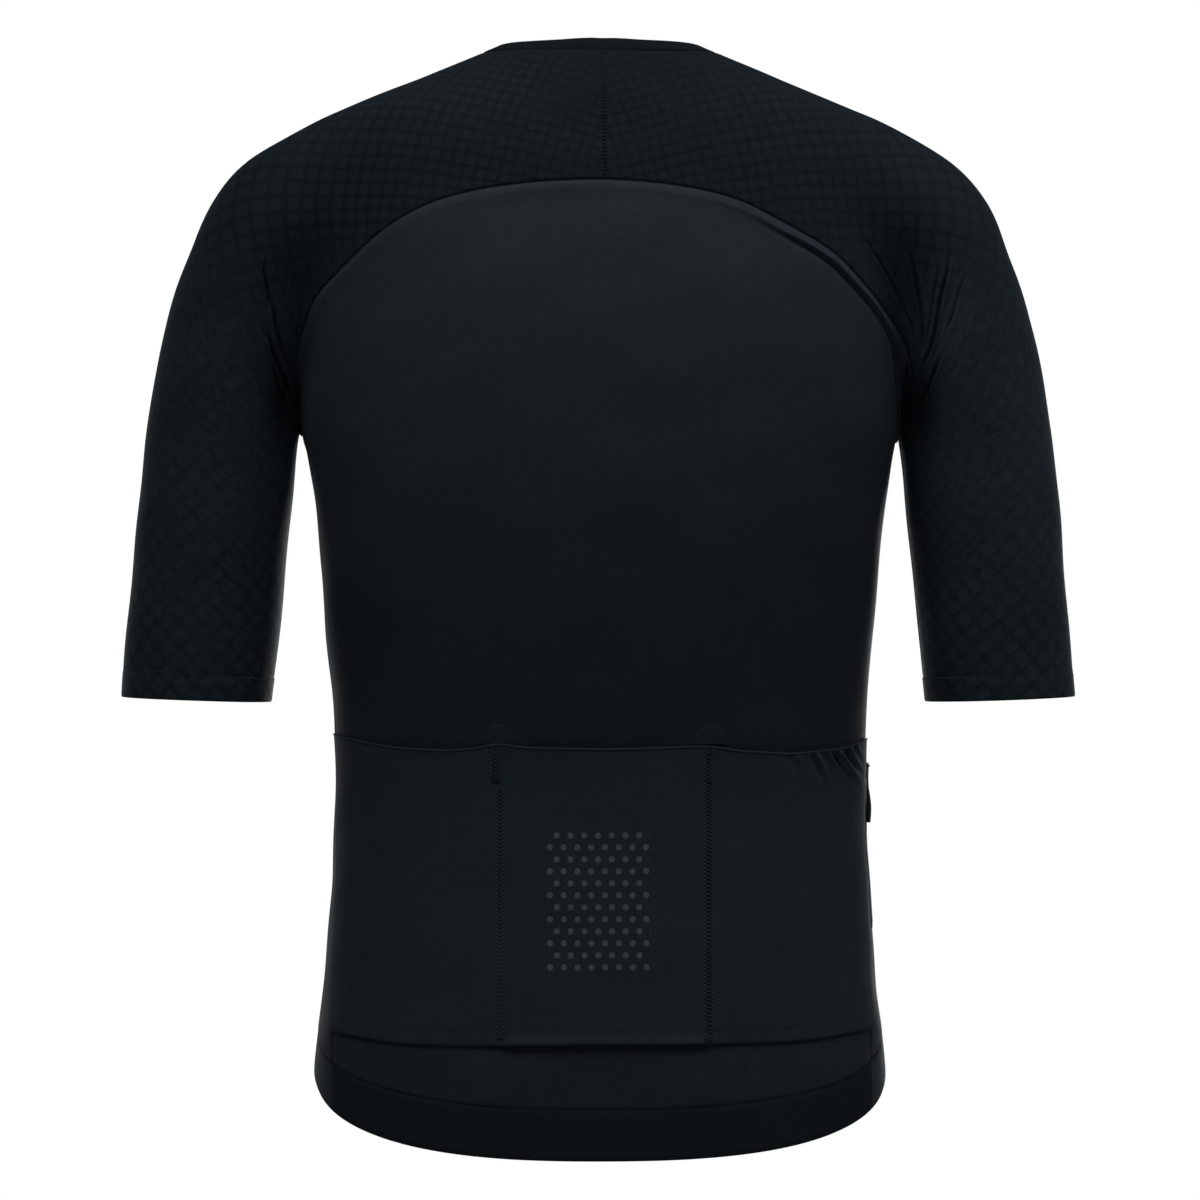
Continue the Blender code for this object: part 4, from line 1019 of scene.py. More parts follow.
def pocket_heights(p):
    """The pockets stand off between their dividers at the edge, sink along the sewn dividers and
    the bottom, and the bottom edge stands off again between the dividers."""
    x = p[..., 0]
    off_top = np.clip(p[:1, :, 2] - p[..., 2], 0, None)
    off_bottom = np.clip(p[..., 2] - p[-1:, :, 2], 0, None)
    depth = off_top / (off_top + off_bottom)
    inner = np.abs(np.sin(np.pi * np.clip(x / (2 * DIVIDER_X) + 0.5, 0, 1)))
    share = np.clip((np.abs(x) - DIVIDER_X) / (90 * MM), 0, 1)
    bulge = np.where(share > 0, np.sin(np.pi * share), inner)
    height = POCKET_SLACK * bulge * (1 - depth)**2
    height += POCKET_SWELL * bulge * np.sin(np.pi * np.clip(depth, 0, 1))
    off_divider = np.abs(x) - DIVIDER_X + 0.8 * MM
    height -= DIVIDER_SINK * bell(off_divider, 0, 3.4 * MM) * ease(off_top, 0.5 * MM, 7 * MM)
    height += DIVIDER_LIP * bell(np.abs(off_divider), 6.5 * MM, 2.6 * MM)
    mid = ease(DIVIDER_X - np.abs(x), -8 * MM, 6 * MM)
    height += bell(off_bottom, 0, 5 * MM) * (BOTTOM_LIP[0] * mid + BOTTOM_LIP[1] * (1 - mid))
    return height - BOTTOM_SINK * bell(off_bottom, 7 * MM, 1.0 * MM)


def gather_heights(p):
    """Ridges and the troughs between them that run down from the pocket's edge, drift towards
    the side and die away."""
    height = np.zeros(p.shape[:-1])
    fall = np.clip(p[:1, :, 2] - p[..., 2], 0, None)
    for x, length, high, half, drift in GATHERS:
        centre = x * MM - drift * fall
        fade = np.clip(1 - fall / (length * MM), 0, 1) * (0.25 + 0.75 * ease(fall, 0, 3.5 * MM))
        across = (p[..., 0] - centre) / (half * MM)
        height += high * MM * fade * (bell(across, 0, 1) - 0.9 * bell(across, 1.9, 0.8)
                                      - 0.4 * bell(across, -1.9, 0.8))
    return height


def pockets(surface):
    grid = pocket_grid()
    height = LAID_ON + SHEET + pocket_heights(grid) + gather_heights(grid) + wave_heights(grid)
    _, sewn = sewn_edges(grid, grid[-1])
    return cloth("pockets_cloth", grid, surface, height, ("first", "last"), sewn=sewn)


def tack(side, surface):
    """Half-round patch on the back, flat side down on the pocket's edge, a little domed."""
    angle = np.linspace(0, math.pi, 41)
    share = np.linspace(0.03, 1, 15)[:, None]
    radius = share * TACK_RADIUS
    x = side * DIVIDER_X + radius * np.cos(angle)
    z = TACK_HEIGHT + TACK_STAND * radius * np.sin(angle)
    grid = cast_level(x, 0, z, (0, 1, 0), 150 * MM)
    height = LAID_ON + 0.5 * MM * (1 - share**2) - 0.35 * MM * share**6
    return cloth("divider_patch_" + SIDES[side], grid, surface, height)


# ---------------------------------------------------------------- zips
def tape_front(surface):
    """Both tapes of the front zip as one strip, from the neck band's top edge to the hem."""
    top = neck_top(1)[-1, 2]
    bottom = hem_lines(4, 1)[1][-1, 2]
    heights = np.linspace(top, bottom, 91)
    half = ZIP_HALF - SEAM_GAP
    shares = np.array([-1, -0.93, -0.82, -0.6, -0.3, -0.12, 0, 0.12, 0.3, 0.6, 0.82, 0.93, 1])
    columns = [zip_line(heights, half * share) for share in shares]
    grid = np.stack(columns, 1)
    height = -0.25 * MM - 0.25 * MM * bell(shares, 0, 0.14) + 0 * grid[..., 0]
    return cloth("front_tape", grid, surface, height)


def tube_faces(rings, corners):
    """Faces of a tube of rings: its sides, and a strip of four-sided faces over each end."""
    index = np.arange(rings * corners).reshape(rings, corners)
    sides = quads(np.concatenate([index, index[:, :1]], axis=1))
    near = np.arange(corners // 2 - 1)
    cap = np.stack([near, near + 1, corners - 2 - near, corners - 1 - near], -1)
    return np.concatenate([sides, cap[:, ::-1], cap + (rings - 1) * corners])


def rods(name, middle, way, out, half_long, half_wide, high, surface):
    """Short bars lying on the cloth: tubes of six corners and four rings along each way, narrower
    and lower at both ends."""
    side = unit(np.cross(way, out))
    share = np.array([-1, -0.6, 0.6, 1])[:, None, None]
    narrow = np.array([0.5, 1, 1, 0.5])[:, None, None]
    lift = np.array([0.2, 1, 1, 0.2])[:, None, None]
    corner = np.linspace(0, 2 * np.pi, 7)[:-1][:, None]
    ring = (middle[:, None, None] + half_long * share * way[:, None, None]
            + half_wide * narrow * np.cos(corner) * side[:, None, None]
            + 0.5 * high * (lift + narrow * np.sin(corner)) * out[:, None, None])
    points = ring.reshape(-1, 3)
    faces = (tube_faces(4, 6) + 24 * np.arange(len(middle))[:, None, None]).reshape(-1, 4)
    return add_closed(name, points, faces, surface, sharp=80)


def spaced(line, pitch, start=0.5):
    """Points at each pitch along a line, the form's normals there, the way ahead and across."""
    length = lengths(line)
    middle = read(line, length, (np.arange(int(length[-1] / pitch)) + start) * pitch)
    out = unit(uphill(middle))
    ahead = unit(np.gradient(middle, axis=0))
    return middle, out, ahead, unit(np.cross(ahead, out))


def teeth(name, line, sizes, surface):
    """Coil teeth along a line: at each pitch a bar from one side and the next from the other."""
    pitch, reach, thick = sizes
    middle, out, _, across = spaced(line, pitch)
    way = across * np.where(np.arange(len(middle)) % 2 == 0, 1.0, -1.0)[:, None]
    return rods(name, middle + 0.32 * reach * way, way, out, 0.68 * reach, 0.43 * pitch, thick,
                surface)


def sew(name, line, pitch, surface, size=STITCH, turn=0.0, start=0.5, aside=0.0):
    """A row of stitches along a line, each turned from it by an angle and set aside from it."""
    middle, out, ahead, across = spaced(line, pitch, start)
    way = math.cos(turn) * ahead + math.sin(turn) * across
    long, wide, high = size
    return rods(name, middle + aside * across, way, out, long / 2, wide / 2, high, surface)


def tube(name, line, out, half_wide, half_high, surface, corners=10):
    """A closed tube of oval section along a line, with its width square to the line and the way
    out; the halves may change along it."""
    ahead = unit(np.gradient(line, axis=0))
    across = unit(np.cross(ahead, out))
    corner = np.linspace(0, 2 * np.pi, corners + 1)[:-1][None, :, None]
    half_wide = np.broadcast_to(half_wide, len(line))[:, None, None]
    half_high = np.broadcast_to(half_high, len(line))[:, None, None]
    ring = (line[:, None] + half_wide * np.cos(corner) * across[:, None]
            + half_high * np.sin(corner) * out[:, None])
    return add_closed(name, ring.reshape(-1, 3), tube_faces(len(line), corners), surface)


def coil_front(surface):
    heights = np.linspace(neck_top(1)[-1, 2] - 2 * MM, hem_lines(4, 1)[1][-1, 2] + 3 * MM, 240)
    line = zip_line(heights, 0.0)
    return teeth("front_coil", line - 0.45 * MM * unit(uphill(line)), FRONT_TEETH, surface)


def pocket_zip_point(share, offset):
    """A point along the side pocket's zip; offset is measured across it, towards the back."""
    depth, height = [(1 - share) * start * MM + share * stop * MM
                     for start, stop in zip(POCKET_ZIP_FROM, POCKET_ZIP_TO)]
    return cast_level(-120 * MM, depth + offset, height, (-1, 0, 0), 90 * MM)


def on_front(line, height):
    """The same points at a height above the front panel's shown cloth."""
    return line + (height + FRONT_WAVES * wave_heights(line))[..., None] * unit(uphill(line))


def tape_pocket(surface):
    share = even(60)[:, None]
    offset = np.array([-1, -0.9, -0.7, -0.4, -0.15, 0, 0.15, 0.4, 0.7, 0.9, 1]) * POCKET_ZIP_HALF
    grid = pocket_zip_point(share, offset)
    height = 0.45 * MM - 0.2 * MM * bell(offset, 0, 1.2 * MM)
    return cloth("pocket_tape", grid, surface, height + FRONT_WAVES * wave_heights(grid))


def coil_pocket(surface):
    share = np.linspace(0.02, 0.98, 120)
    line = pocket_zip_point(share, 0 * share)
    return teeth("pocket_coil", on_front(line, 0.25 * MM), POCKET_TEETH, surface)


def pull_cord(surface):
    """Corded pull of the pocket's zip: a thin loop that swells into an oval grip close to the
    cloth, with fine ribs and a squared end."""
    hinge = np.array(PULL_HINGE) * MM
    out = unit(uphill(hinge))
    up = unit(np.array((0, 0, 1.0)) - out[2] * out)
    share = np.linspace(0, len(PULL_CORD) - 1, 150)
    rise, stand, wide, thick = hermite(np.arange(len(PULL_CORD), dtype=float), PULL_CORD,
                                       share).T * MM
    line = hinge + rise[:, None] * up + stand[:, None] * out
    taper = 1 - 0.6 * ease(share, share[-1] - 0.07, share[-1] + 0.05)
    rib = 1 + 0.055 * np.sin(2 * np.pi * rise / (1.5 * MM))
    way_out = unit(np.cross(np.cross(np.gradient(line, axis=0), out), np.gradient(line, axis=0)))
    return tube("pocket_pull_cord", line, way_out * np.sign((way_out @ out)[:, None]),
                wide * taper * rib, thick * taper * rib, surface, corners=14)


def pocket_slider(surface):
    """Low slider of the pocket's zip, wider at its upper end, and the wire bridge over the head
    of its pull."""
    share = np.linspace(SLIDER_SIDES[0, 0], SLIDER_SIDES[-1, 0], 27)
    line = pocket_zip_point(share, 0 * share)
    out = unit(uphill(line))
    ends = np.linspace(-1, 1, 27)
    plump = np.sqrt(np.clip(1 - ends**10, 0.1, 1))
    plate = tube("pocket_slider_plate", on_front(line, 0.75 * MM), out,
                 hermite(*SLIDER_SIDES.T, share) * plump * MM, 0.85 * plump * MM, surface, 20)
    turn = np.linspace(0, np.pi, 25)
    middle = pocket_zip_point(0.068 + 0 * turn, 2.9 * MM * np.cos(turn))
    wire = on_front(middle, (0.9 + 1.9 * np.sin(turn)**0.7) * MM)
    bridge = tube("pocket_slider_bridge", wire, np.broadcast_to((0.0, 0.0, 1.0), wire.shape),
                  0.36 * MM, 0.5 * MM, surface, 10)
    return plate, bridge


# ---------------------------------------------------------------- sewing
def on_pockets(outer, x, z):
    """Points of the pockets' cloth at each x and height, read from its rows."""
    depth = np.array([np.interp(x, row[::-1, 0], row[::-1, 1]) for row in outer])
    height = np.array([np.interp(x, row[::-1, 0], row[::-1, 2]) for row in outer])
    y = [np.interp(-level, -height[:, n], depth[:, n]) for n, level in enumerate(z)]
    return np.stack([x, np.array(y), z], -1)


def binding(outer, surface):
    """A narrow bound edge along the pockets' opening."""
    line = outer[0] - 0.12 * MM * unit(uphill(outer[0]))
    out = unit(uphill(line))
    return tube("pocket_binding", line, out, *BINDING_HALF, surface, corners=8)


def divider_stitches(outer, light, dark):
    """Two rows of stitches with rungs between them down each divider, and a dense bar of thread
    at its ends."""
    pieces = []
    for side, word in SIDES.items():
        for number, (top_x, low_x, top, low) in enumerate(DIVIDER_ROWS[side]):
            z = np.linspace(top, low, 60) * MM
            line = on_pockets(outer, np.linspace(top_x, low_x, 60) * MM, z)
            pieces.append(sew(f"divider_row_{word}_{number}", line, STITCH_PITCH, light))
            if number % 2 == 0:
                gap = (top_x - DIVIDER_ROWS[side][number + 1][0]) * MM
                pieces.append(sew(f"divider_rungs_{word}_{number}", line, STITCH_PITCH, dark,
                                  (abs(gap), RUNG_WIDE, RUNG_HIGH), math.radians(84), 1.0,
                                  -gap / 2))
    for number, (x, z) in enumerate(BARTACKS):
        across = x * MM + np.linspace(-BARTACK_HALF, BARTACK_HALF, 12) * MM
        line = on_pockets(outer, across, z * MM + 0 * across)
        pieces.append(sew(f"bartack_{number}", line, BARTACK_PITCH, dark, BARTACK_STITCH,
                          math.radians(78)))
    return pieces


def hem_stitches(outer, cuffs, thread):
    """Stitch lines above the pockets' bottom edge, round both cuffs, down both sides of the front
    zip, and short bars across the centre-back seam."""
    x = np.linspace(158, -158, 120) * MM
    bottom = np.interp(x / MM, *POCKET_BOTTOM.T) * MM
    pieces = [sew("pocket_bottom_row", on_pockets(outer, x, bottom + BOTTOM_ROW),
                  HEM_STITCH_PITCH, thread, BOTTOM_STITCH)]
    for word, ring in zip(SIDES.values(), cuffs):
        pieces.append(sew("cuff_row_" + word, ring, HEM_STITCH_PITCH, thread, HEM_STITCH))
    for side, word in SIDES.items():
        line = zip_line(np.linspace(-64, -612, 200) * MM, side * (ZIP_HALF + 5 * MM))
        pieces.append(sew("zip_row_" + word, line + 0.2 * MM * unit(uphill(line)),
                          HEM_STITCH_PITCH, thread, HEM_STITCH))
    t = np.linspace(0, 1, 60)[:, None]
    line = settle((1 - t) * np.array((0, 57, -4)) * MM + t * np.array((0, 96, -86)) * MM)
    pieces.append(sew("centre_back_bars", line - 0.45 * MM * unit(uphill(line)), STITCH_PITCH,
                      thread, CENTRE_BACK_STITCH, math.radians(90)))
    return pieces


# ---------------------------------------------------------------- finishes
class Finish:
    """A material with its Principled shader, and the calls that add nodes to it."""

    def __init__(self, name, colour, roughness, **steady):
        self.surface = bpy.data.materials.new(name)
        self.surface.use_nodes = True
        self.tree = self.surface.node_tree
        self.shader = self.tree.nodes["Principled BSDF"]
        self.shader.inputs["Base Color"].default_value = (*colour, 1)
        self.shader.inputs["Roughness"].default_value = roughness
        for socket, value in steady.items():
            self.shader.inputs[socket.replace("_", " ")].default_value = value
        self.surface.diffuse_color = (*colour, 1)

    def node(self, kind, settings=None, inputs=None):
        node = self.tree.nodes.new(kind)
        for key, value in (settings or {}).items():
            setattr(node, key, value)
        for key, value in (inputs or {}).items():
            self.feed(node.inputs[key], value)
        return node

    def feed(self, socket, value):
        """Link a reading or a node's output to a socket, or set the socket."""
        value = getattr(value, "socket", value)
        if isinstance(value, bpy.types.NodeSocket):
            self.tree.links.new(value, socket)
        else:
            socket.default_value = value

    def maths(self, operation, *values):
        node = self.node("ShaderNodeMath", {"operation": operation}, dict(enumerate(values)))
        return Reading(self, node.outputs[0])

    def place(self, source="Object"):
        """The x, y and z of a point of the piece, or its UV place."""
        here = self.node("ShaderNodeTexCoord").outputs[source]
        parts = self.node("ShaderNodeSeparateXYZ", inputs={0: here})
        return [Reading(self, socket) for socket in parts.outputs]

    def mark(self, name):
        """A value kept at the points of the piece."""
        return Reading(self, self.node("ShaderNodeAttribute", {"attribute_name": name}).outputs["Fac"])

    def noise(self, size, detail=2.0, stretch=(1, 1, 1)):
        """Soft noise whose cells are about size metres across."""
        here = self.node("ShaderNodeTexCoord").outputs["Object"]
        turned = self.node("ShaderNodeMapping", inputs={"Vector": here, "Scale": stretch})
        node = self.node("ShaderNodeTexNoise",
                         inputs={"Vector": turned.outputs[0], "Scale": 1 / size, "Detail": detail})
        return Reading(self, node.outputs["Fac"])

    def mixed(self, factor, one, two):
        """Colour one where the factor is 0, colour two where it is 1."""
        node = self.node("ShaderNodeMix", {"data_type": "RGBA"}, {0: factor})
        for slot, colour in ((6, one), (7, two)):
            plain = isinstance(colour, tuple)
            self.feed(node.inputs[slot], (*colour, 1) if plain else colour)
        return node.outputs[2]

    def sewn_over(self, colour):
        """The colour, darkened along the seam lines."""
        return self.mixed(self.mark("sewn") * 0.85, colour, SEAM_SHADE)

    def cover(self, colour):
        self.feed(self.shader.inputs["Base Color"], colour)

    def roughen(self, value):
        self.feed(self.shader.inputs["Roughness"], value)

    def raise_by(self, height, metres):
        """Bump whose height of 1 stands this many metres proud."""
        node = self.node("ShaderNodeBump",
                         inputs={"Height": height, "Distance": metres, "Strength": 1.0})
        self.feed(self.shader.inputs["Normal"], node.outputs[0])


class Reading:
    """A number that varies over a surface; the usual operators add the nodes that work it out."""

    def __init__(self, finish, socket):
        self.finish = finish
        self.socket = socket

    def __add__(self, other):
        return self.finish.maths("ADD", self, other)

    def __sub__(self, other):
        return self.finish.maths("SUBTRACT", self, other)

    def __rsub__(self, other):
        return self.finish.maths("SUBTRACT", other, self)

    def __mul__(self, other):
        return self.finish.maths("MULTIPLY", self, other)

    def __truediv__(self, other):
        return self.finish.maths("DIVIDE", self, other)

    def __abs__(self):
        return self.finish.maths("ABSOLUTE", self)

    __radd__ = __add__
    __rmul__ = __mul__

    def of(self, operation, *others):
        return self.finish.maths(operation, self, *others)

    def to_line(self):
        """Distance to the nearest whole number, 0 to 0.5."""
        return self.of("PINGPONG", 0.5)

    def near(self, middle, width):
        """A bell: 1 at the middle, that falls off within the width."""
        away = (self - middle) / width
        return (away * away * -1).of("EXPONENT")

    def ease(self, low, high):
        """From 0 at low to 1 at high, level at both ends."""
        node = self.finish.node("ShaderNodeMapRange", {"interpolation_type": "SMOOTHSTEP"},
                                {"Value": self, "From Min": low, "From Max": high})
        return Reading(self.finish, node.outputs[0])


BODY = (0.0200, 0.0285, 0.0355)
POCKET = (0.0184, 0.0278, 0.0343)
SEAM_SHADE = (0.0035, 0.0055, 0.0065)
DOT_SHADE = (0.085, 0.095, 0.105)
# Pitches of the fine structures, metres
WALE = 0.00115
COURSE = 0.0009
RIB = 0.0016
WEAVE = 0.0014
DOT_PITCH = 0.0085
DOT_ROW = DOT_PITCH * 0.866
DOT_EDGE = (0.0017, 0.0021)      # radius at which a dot begins to fade, and at which it ends
DOT_BLOCK = (0.0325, 0.004, 0.0445, -0.5325)     # half width, middle x, half height, middle z
BLOCK_EDGE = 0.0006
CLAMP_HEIGHT = -0.4865           # the cord's end is clamped below this height
SMOOTH = {"Sheen_Weight": 0.04, "Sheen_Roughness": 0.45, "Sheen_Tint": (0.8, 0.9, 1.0, 1),
          "Specular_IOR_Level": 0.1}


def shade_of(colour, share):
    return tuple(share * part for part in colour)


def body_knit():
    """Fine smooth knit with fine wales, and a cool sheen. Its colour also carries painted light and
    shade: lighter over the upper back and near the hem, darker over the lower back, at its sides, on
    the wearer's right and just above the pockets.
    """
    finish = Finish("body_knit", BODY, 0.66, **SMOOTH)
    u, v, _ = finish.place("UV")
    wale = (u / WALE).to_line() * 2
    course = (v / COURSE).to_line() * 2
    mottle = finish.noise(0.004, 3.0)
    soft = finish.noise(0.05, 2.0)
    x, _, z = finish.place()
    shade = (wale * 0.12 + course * 0.08 + mottle * 0.5 + soft * 0.3).ease(0.15, 0.85)
    blotch = finish.noise(0.009, 2.0) - 0.5
    # Painted light and shade: the terms in z and x below darken the lower back, its sides, the
    # wearer's right and a band just above the pockets, and lighten the upper back and the cloth near
    # the hem.
    shade = 0.54 + (shade - 0.5) * 0.5 + blotch * 0.4 + (z.ease(-0.42, -0.27) - 1) * 0.42
    shade = shade + z.ease(-0.32, -0.14) * 0.16 + z.near(-0.25, 0.075) * 0.13
    shade = shade - abs(x).ease(0.11, 0.165) * z.near(-0.362, 0.035) * 0.4
    shade = shade - x.near(0.0, 0.12) * z.near(-0.428, 0.03) * 0.16
    shade = shade - (0 - x).ease(0.06, 0.16) * z.near(-0.31, 0.1) * 0.34
    shade = shade + (1 - z.ease(-0.62, -0.56)) * 0.15
    cloth_colour = finish.mixed(shade, shade_of(BODY, 0.68), shade_of(BODY, 1.28))
    finish.cover(finish.sewn_over(cloth_colour))
    finish.raise_by(wale * 0.25 + course * 0.15 + mottle * 0.6, 0.00012)
    return finish


def yoke_knit():
    """Net-like knit on the flat cut's slant: soft rounded lozenges between thin dark lines, clearest
    over the yoke, fainter down the arms, with short uneven strokes along one slant. Its colour also
    carries painted light and shade: darker over the top of the yoke, its top centre and the left
    shoulder, lighter down the arms, on the outer right sleeve and beside the right arm, with a painted
    shadow in each underarm."""
    finish = Finish("yoke_knit", shade_of(BODY, 0.7), 0.7, Sheen_Weight=0.03, Sheen_Roughness=0.5,
                    Sheen_Tint=(0.6, 0.82, 1.0, 1), Specular_Tint=(0.6, 0.82, 1.0, 1),
                    Specular_IOR_Level=0.08)
    u, v, _ = finish.place("UV")
    x, _, z = finish.place()
    pitch = LATTICE * math.sqrt(2)
    sway = (finish.noise(0.021, 2.0) - 0.5) * 0.34
    drift = (finish.noise(0.017, 2.0, stretch=(1.3, 0.9, 1.1)) - 0.5) * 0.34
    rising = 1 - ((u + v) / pitch + sway).to_line() * 2
    falling = 1 - ((u - v) / pitch + drift).to_line() * 2
    away = (rising.of("POWER", 3.0) + falling.of("POWER", 3.0)).of("POWER", 1 / 3)
    lozenge = 1 - away.ease(0.5, 1.05)
    patchy = finish.noise(0.034, 2.0, stretch=(0.8, 1.2, 1.0)).ease(0.3, 0.7)
    upper = z.ease(-0.17, -0.09)
    lower = 1 - z.ease(-0.37, -0.28)
    clear = ((0.24 + upper * (0.4 + x.ease(-0.1, 0.16) * 0.12) + lower * 0.34)
             * (0.55 + patchy * 0.45))
    slant = u * x.of("SIGN")
    lines = finish.node("ShaderNodeCombineXYZ",
                        inputs={0: (slant - v) / 0.0042, 1: (slant + v) / 0.0120})
    strand = finish.node("ShaderNodeTexNoise",
                         inputs={"Vector": lines.outputs[0], "Scale": 1.0, "Detail": 1.0})
    strand = Reading(finish, strand.outputs["Fac"]) - 0.5
    hole = finish.noise(0.0013, 1.0) - 0.5
    # Painted light and shade: level darkens the top of the yoke, its top centre and the left shoulder,
    # lightens the arms, the outer right sleeve and a patch beside the right arm, and paints a shadow
    # into each underarm.
    level = 0.95 - z.ease(-0.25, -0.08) * 0.48 - x.near(-0.01, 0.085) * z.ease(-0.07, -0.04) * 0.15
    level = level - x.near(0.195, 0.035) * z.near(-0.075, 0.025) * 0.11
    level = level + (0 - x).ease(0.2, 0.235) * z.near(-0.235, 0.09) * 0.17
    level = level + x.near(-0.216, 0.018) * z.near(-0.158, 0.035) * 0.42
    level = level * (1 - abs(x).near(0.199, 0.011) * z.near(-0.224, 0.028) * 0.88)
    pattern = (lozenge - 0.6) * clear * 0.7 + strand * (0.84 - upper * 0.54) + hole * 0.34
    knit = finish.mixed((level * (pattern + 1) - 0.2) / 1.1, shade_of(BODY, 0.2),
                        shade_of(BODY, 1.3))
    finish.cover(finish.sewn_over(knit))
    finish.raise_by(lozenge * clear * 0.8 + strand * 0.4 + hole * 0.2, 0.00025)
    return finish


def gripper_elastic():
    """Matt elastic with fine upright ribs."""
    finish = Finish("gripper_elastic", shade_of(BODY, 0.5), 0.85, Specular_IOR_Level=0.08)
    u, _, _ = finish.place("UV")
    rib = (u / RIB).to_line() * 2
    mottle = finish.noise(0.0025, 2.0)
    finish.cover(finish.mixed(rib * 0.4 + mottle * 0.6, shade_of(BODY, 0.48), shade_of(BODY, 0.72)))
    finish.raise_by(rib + mottle * 0.4, 0.0002)
    return finish


def smooth_band():
    """Plain close knit of the neck band."""
    finish = Finish("smooth_band", (0.0085, 0.0125, 0.0140), 0.9, Specular_IOR_Level=0.04)
    mottle = finish.noise(0.0012, 2.0)
    band = finish.mixed(mottle, (0.0072, 0.0108, 0.0120), (0.0098, 0.0142, 0.0160))
    finish.cover(finish.sewn_over(band))
    finish.raise_by(mottle, 0.00012)
    return finish


def pocket_knit():
    """The body's knit; the middle pocket also carries small round reflective dots."""
    finish = Finish("pocket_knit", BODY, 0.66, **SMOOTH)
    u, _, _ = finish.place("UV")
    x, _, z = finish.place()
    wale = (u / WALE).to_line() * 2
    mottle = finish.noise(0.004, 3.0)
    blotch = finish.noise(0.009, 2.0)
    cloth_colour = finish.mixed((wale * 0.12 + mottle * 0.48 + blotch * 0.4).ease(0.15, 0.85),
                                shade_of(POCKET, 0.84), shade_of(POCKET, 1.10))
    cloth_colour = finish.sewn_over(cloth_colour)
    shift = abs((z / DOT_ROW).of("ROUND").of("MODULO", 2.0)) * 0.5
    across = (x / DOT_PITCH + shift).to_line() * DOT_PITCH
    down = (z / DOT_ROW).to_line() * DOT_ROW
    away = (across * across + down * down).of("SQRT")
    half_wide, mid_x, half_high, mid_z = DOT_BLOCK
    inside = ((half_wide - abs(x - mid_x)).ease(0, BLOCK_EDGE)
              * (half_high - abs(z - mid_z)).ease(0, BLOCK_EDGE))
    dot = (1 - away.ease(*DOT_EDGE)) * inside
    finish.cover(finish.mixed(dot, cloth_colour, DOT_SHADE))
    finish.roughen(0.66 - dot * 0.2)
    finish.raise_by(wale * 0.25 + mottle * 0.6 + dot * 0.8, 0.00012)
    return finish


def zip_tape():
    finish = Finish("zip_tape", (0.0095, 0.012, 0.0145), 0.7, Specular_IOR_Level=0.25)
    u, v, _ = finish.place("UV")
    weave = ((u + v) / WEAVE).to_line() * 2
    finish.cover(finish.mixed(weave, (0.007, 0.009, 0.011), (0.0125, 0.0155, 0.018)))
    finish.raise_by(weave, 0.00015)
    return finish


def zip_coil():
    finish = Finish("zip_coil", (0.012, 0.014, 0.016), 0.38, Specular_IOR_Level=0.5)
    grain = finish.noise(0.0012, 2.0)
    finish.roughen(0.32 + grain * 0.16)
    finish.cover(finish.mixed(grain, (0.010, 0.012, 0.014), (0.016, 0.019, 0.022)))
    return finish


def zip_metal():
    """Dark painted metal, a little worn on its faces."""
    finish = Finish("zip_metal", (0.018, 0.019, 0.021), 0.5, Metallic=0.3,
                    Specular_IOR_Level=0.25)
    wear = finish.noise(0.0018, 3.0)
    worn = finish.mixed(wear.ease(0.4, 0.8), (0.014, 0.015, 0.017), (0.030, 0.032, 0.035))
    finish.cover(worn)
    finish.roughen(0.42 + wear * 0.2)
    finish.raise_by(wear, 0.00004)
    return finish


def braid():
    """Braided cord: two slanted sets of strands, darker between them and at the clamped end."""
    finish = Finish("braid", (0.02, 0.023, 0.028), 0.6, Specular_IOR_Level=0.25)
    _, y, z = finish.place()
    strand = ((z + y * 0.8) / 0.0016).to_line() * ((z - y * 0.8) / 0.0016).to_line() * 4
    fleck = finish.noise(0.0009, 2.0)
    cord = finish.mixed(strand * 0.6 + fleck * 0.4, (0.006, 0.008, 0.010), (0.034, 0.039, 0.047))
    clamp = 1 - (z - CLAMP_HEIGHT).ease(-0.0003, 0.0003)
    finish.cover(finish.mixed(clamp, cord, (0.010, 0.011, 0.013)))
    finish.roughen(0.62 - clamp * 0.25)
    finish.raise_by(strand * (1 - clamp) + fleck * 0.3, 0.00025)
    return finish


def thread(name, colour):
    finish = Finish(name, colour, 0.6, Specular_IOR_Level=0.2)
    twist = finish.noise(0.0005, 1.0)
    finish.cover(finish.mixed(twist, shade_of(colour, 0.7), shade_of(colour, 1.25)))
    return finish


# ---------------------------------------------------------------- light and camera
FLOOR_HEIGHT = -1.25
CAMERA = (0.0880, 2.8787, -0.3475)
CAMERA_AIM = (0, 0, -0.3475)
# Name, place, aim, width and height, power, tint
LIGHTS = [
    ("overhead", (0.18, 0.98, 2.04), (0, 0.05, -0.3), (1.9, 1.1), 42, (0.97, 0.99, 1)),
    ("front_fill", (-0.3, -2.1, -0.45), (0, 0, -0.35), (1.5, 0.7), 20, (1, 1, 1)),
    ("left_fill", (1.2, -2.0, -0.45), (0.1, 0, -0.35), (1.0, 0.7), 4, (1, 1, 1)),
    ("right_fill", (-1.3, -2.0, -0.45), (-0.1, 0, -0.35), (1.0, 0.7), 4, (1, 1, 1)),
    ("side_fill", (-1.7, 0.25, 0.95), (-0.2, 0, -0.2), (1.0, 1.2), 6.5, (1, 1, 1))]


def soft_light(name, place, aim, size, power, colour):
    lamp = bpy.data.lights.new(name, "AREA")
    lamp.shape = "RECTANGLE"
    lamp.size, lamp.size_y = size
    lamp.energy = power
    lamp.color = colour
    item = bpy.data.objects.new(name, lamp)
    item.location = place
    item.rotation_euler = (Vector(aim) - Vector(place)).to_track_quat("-Z", "Y").to_euler()
    bpy.context.scene.collection.objects.link(item)


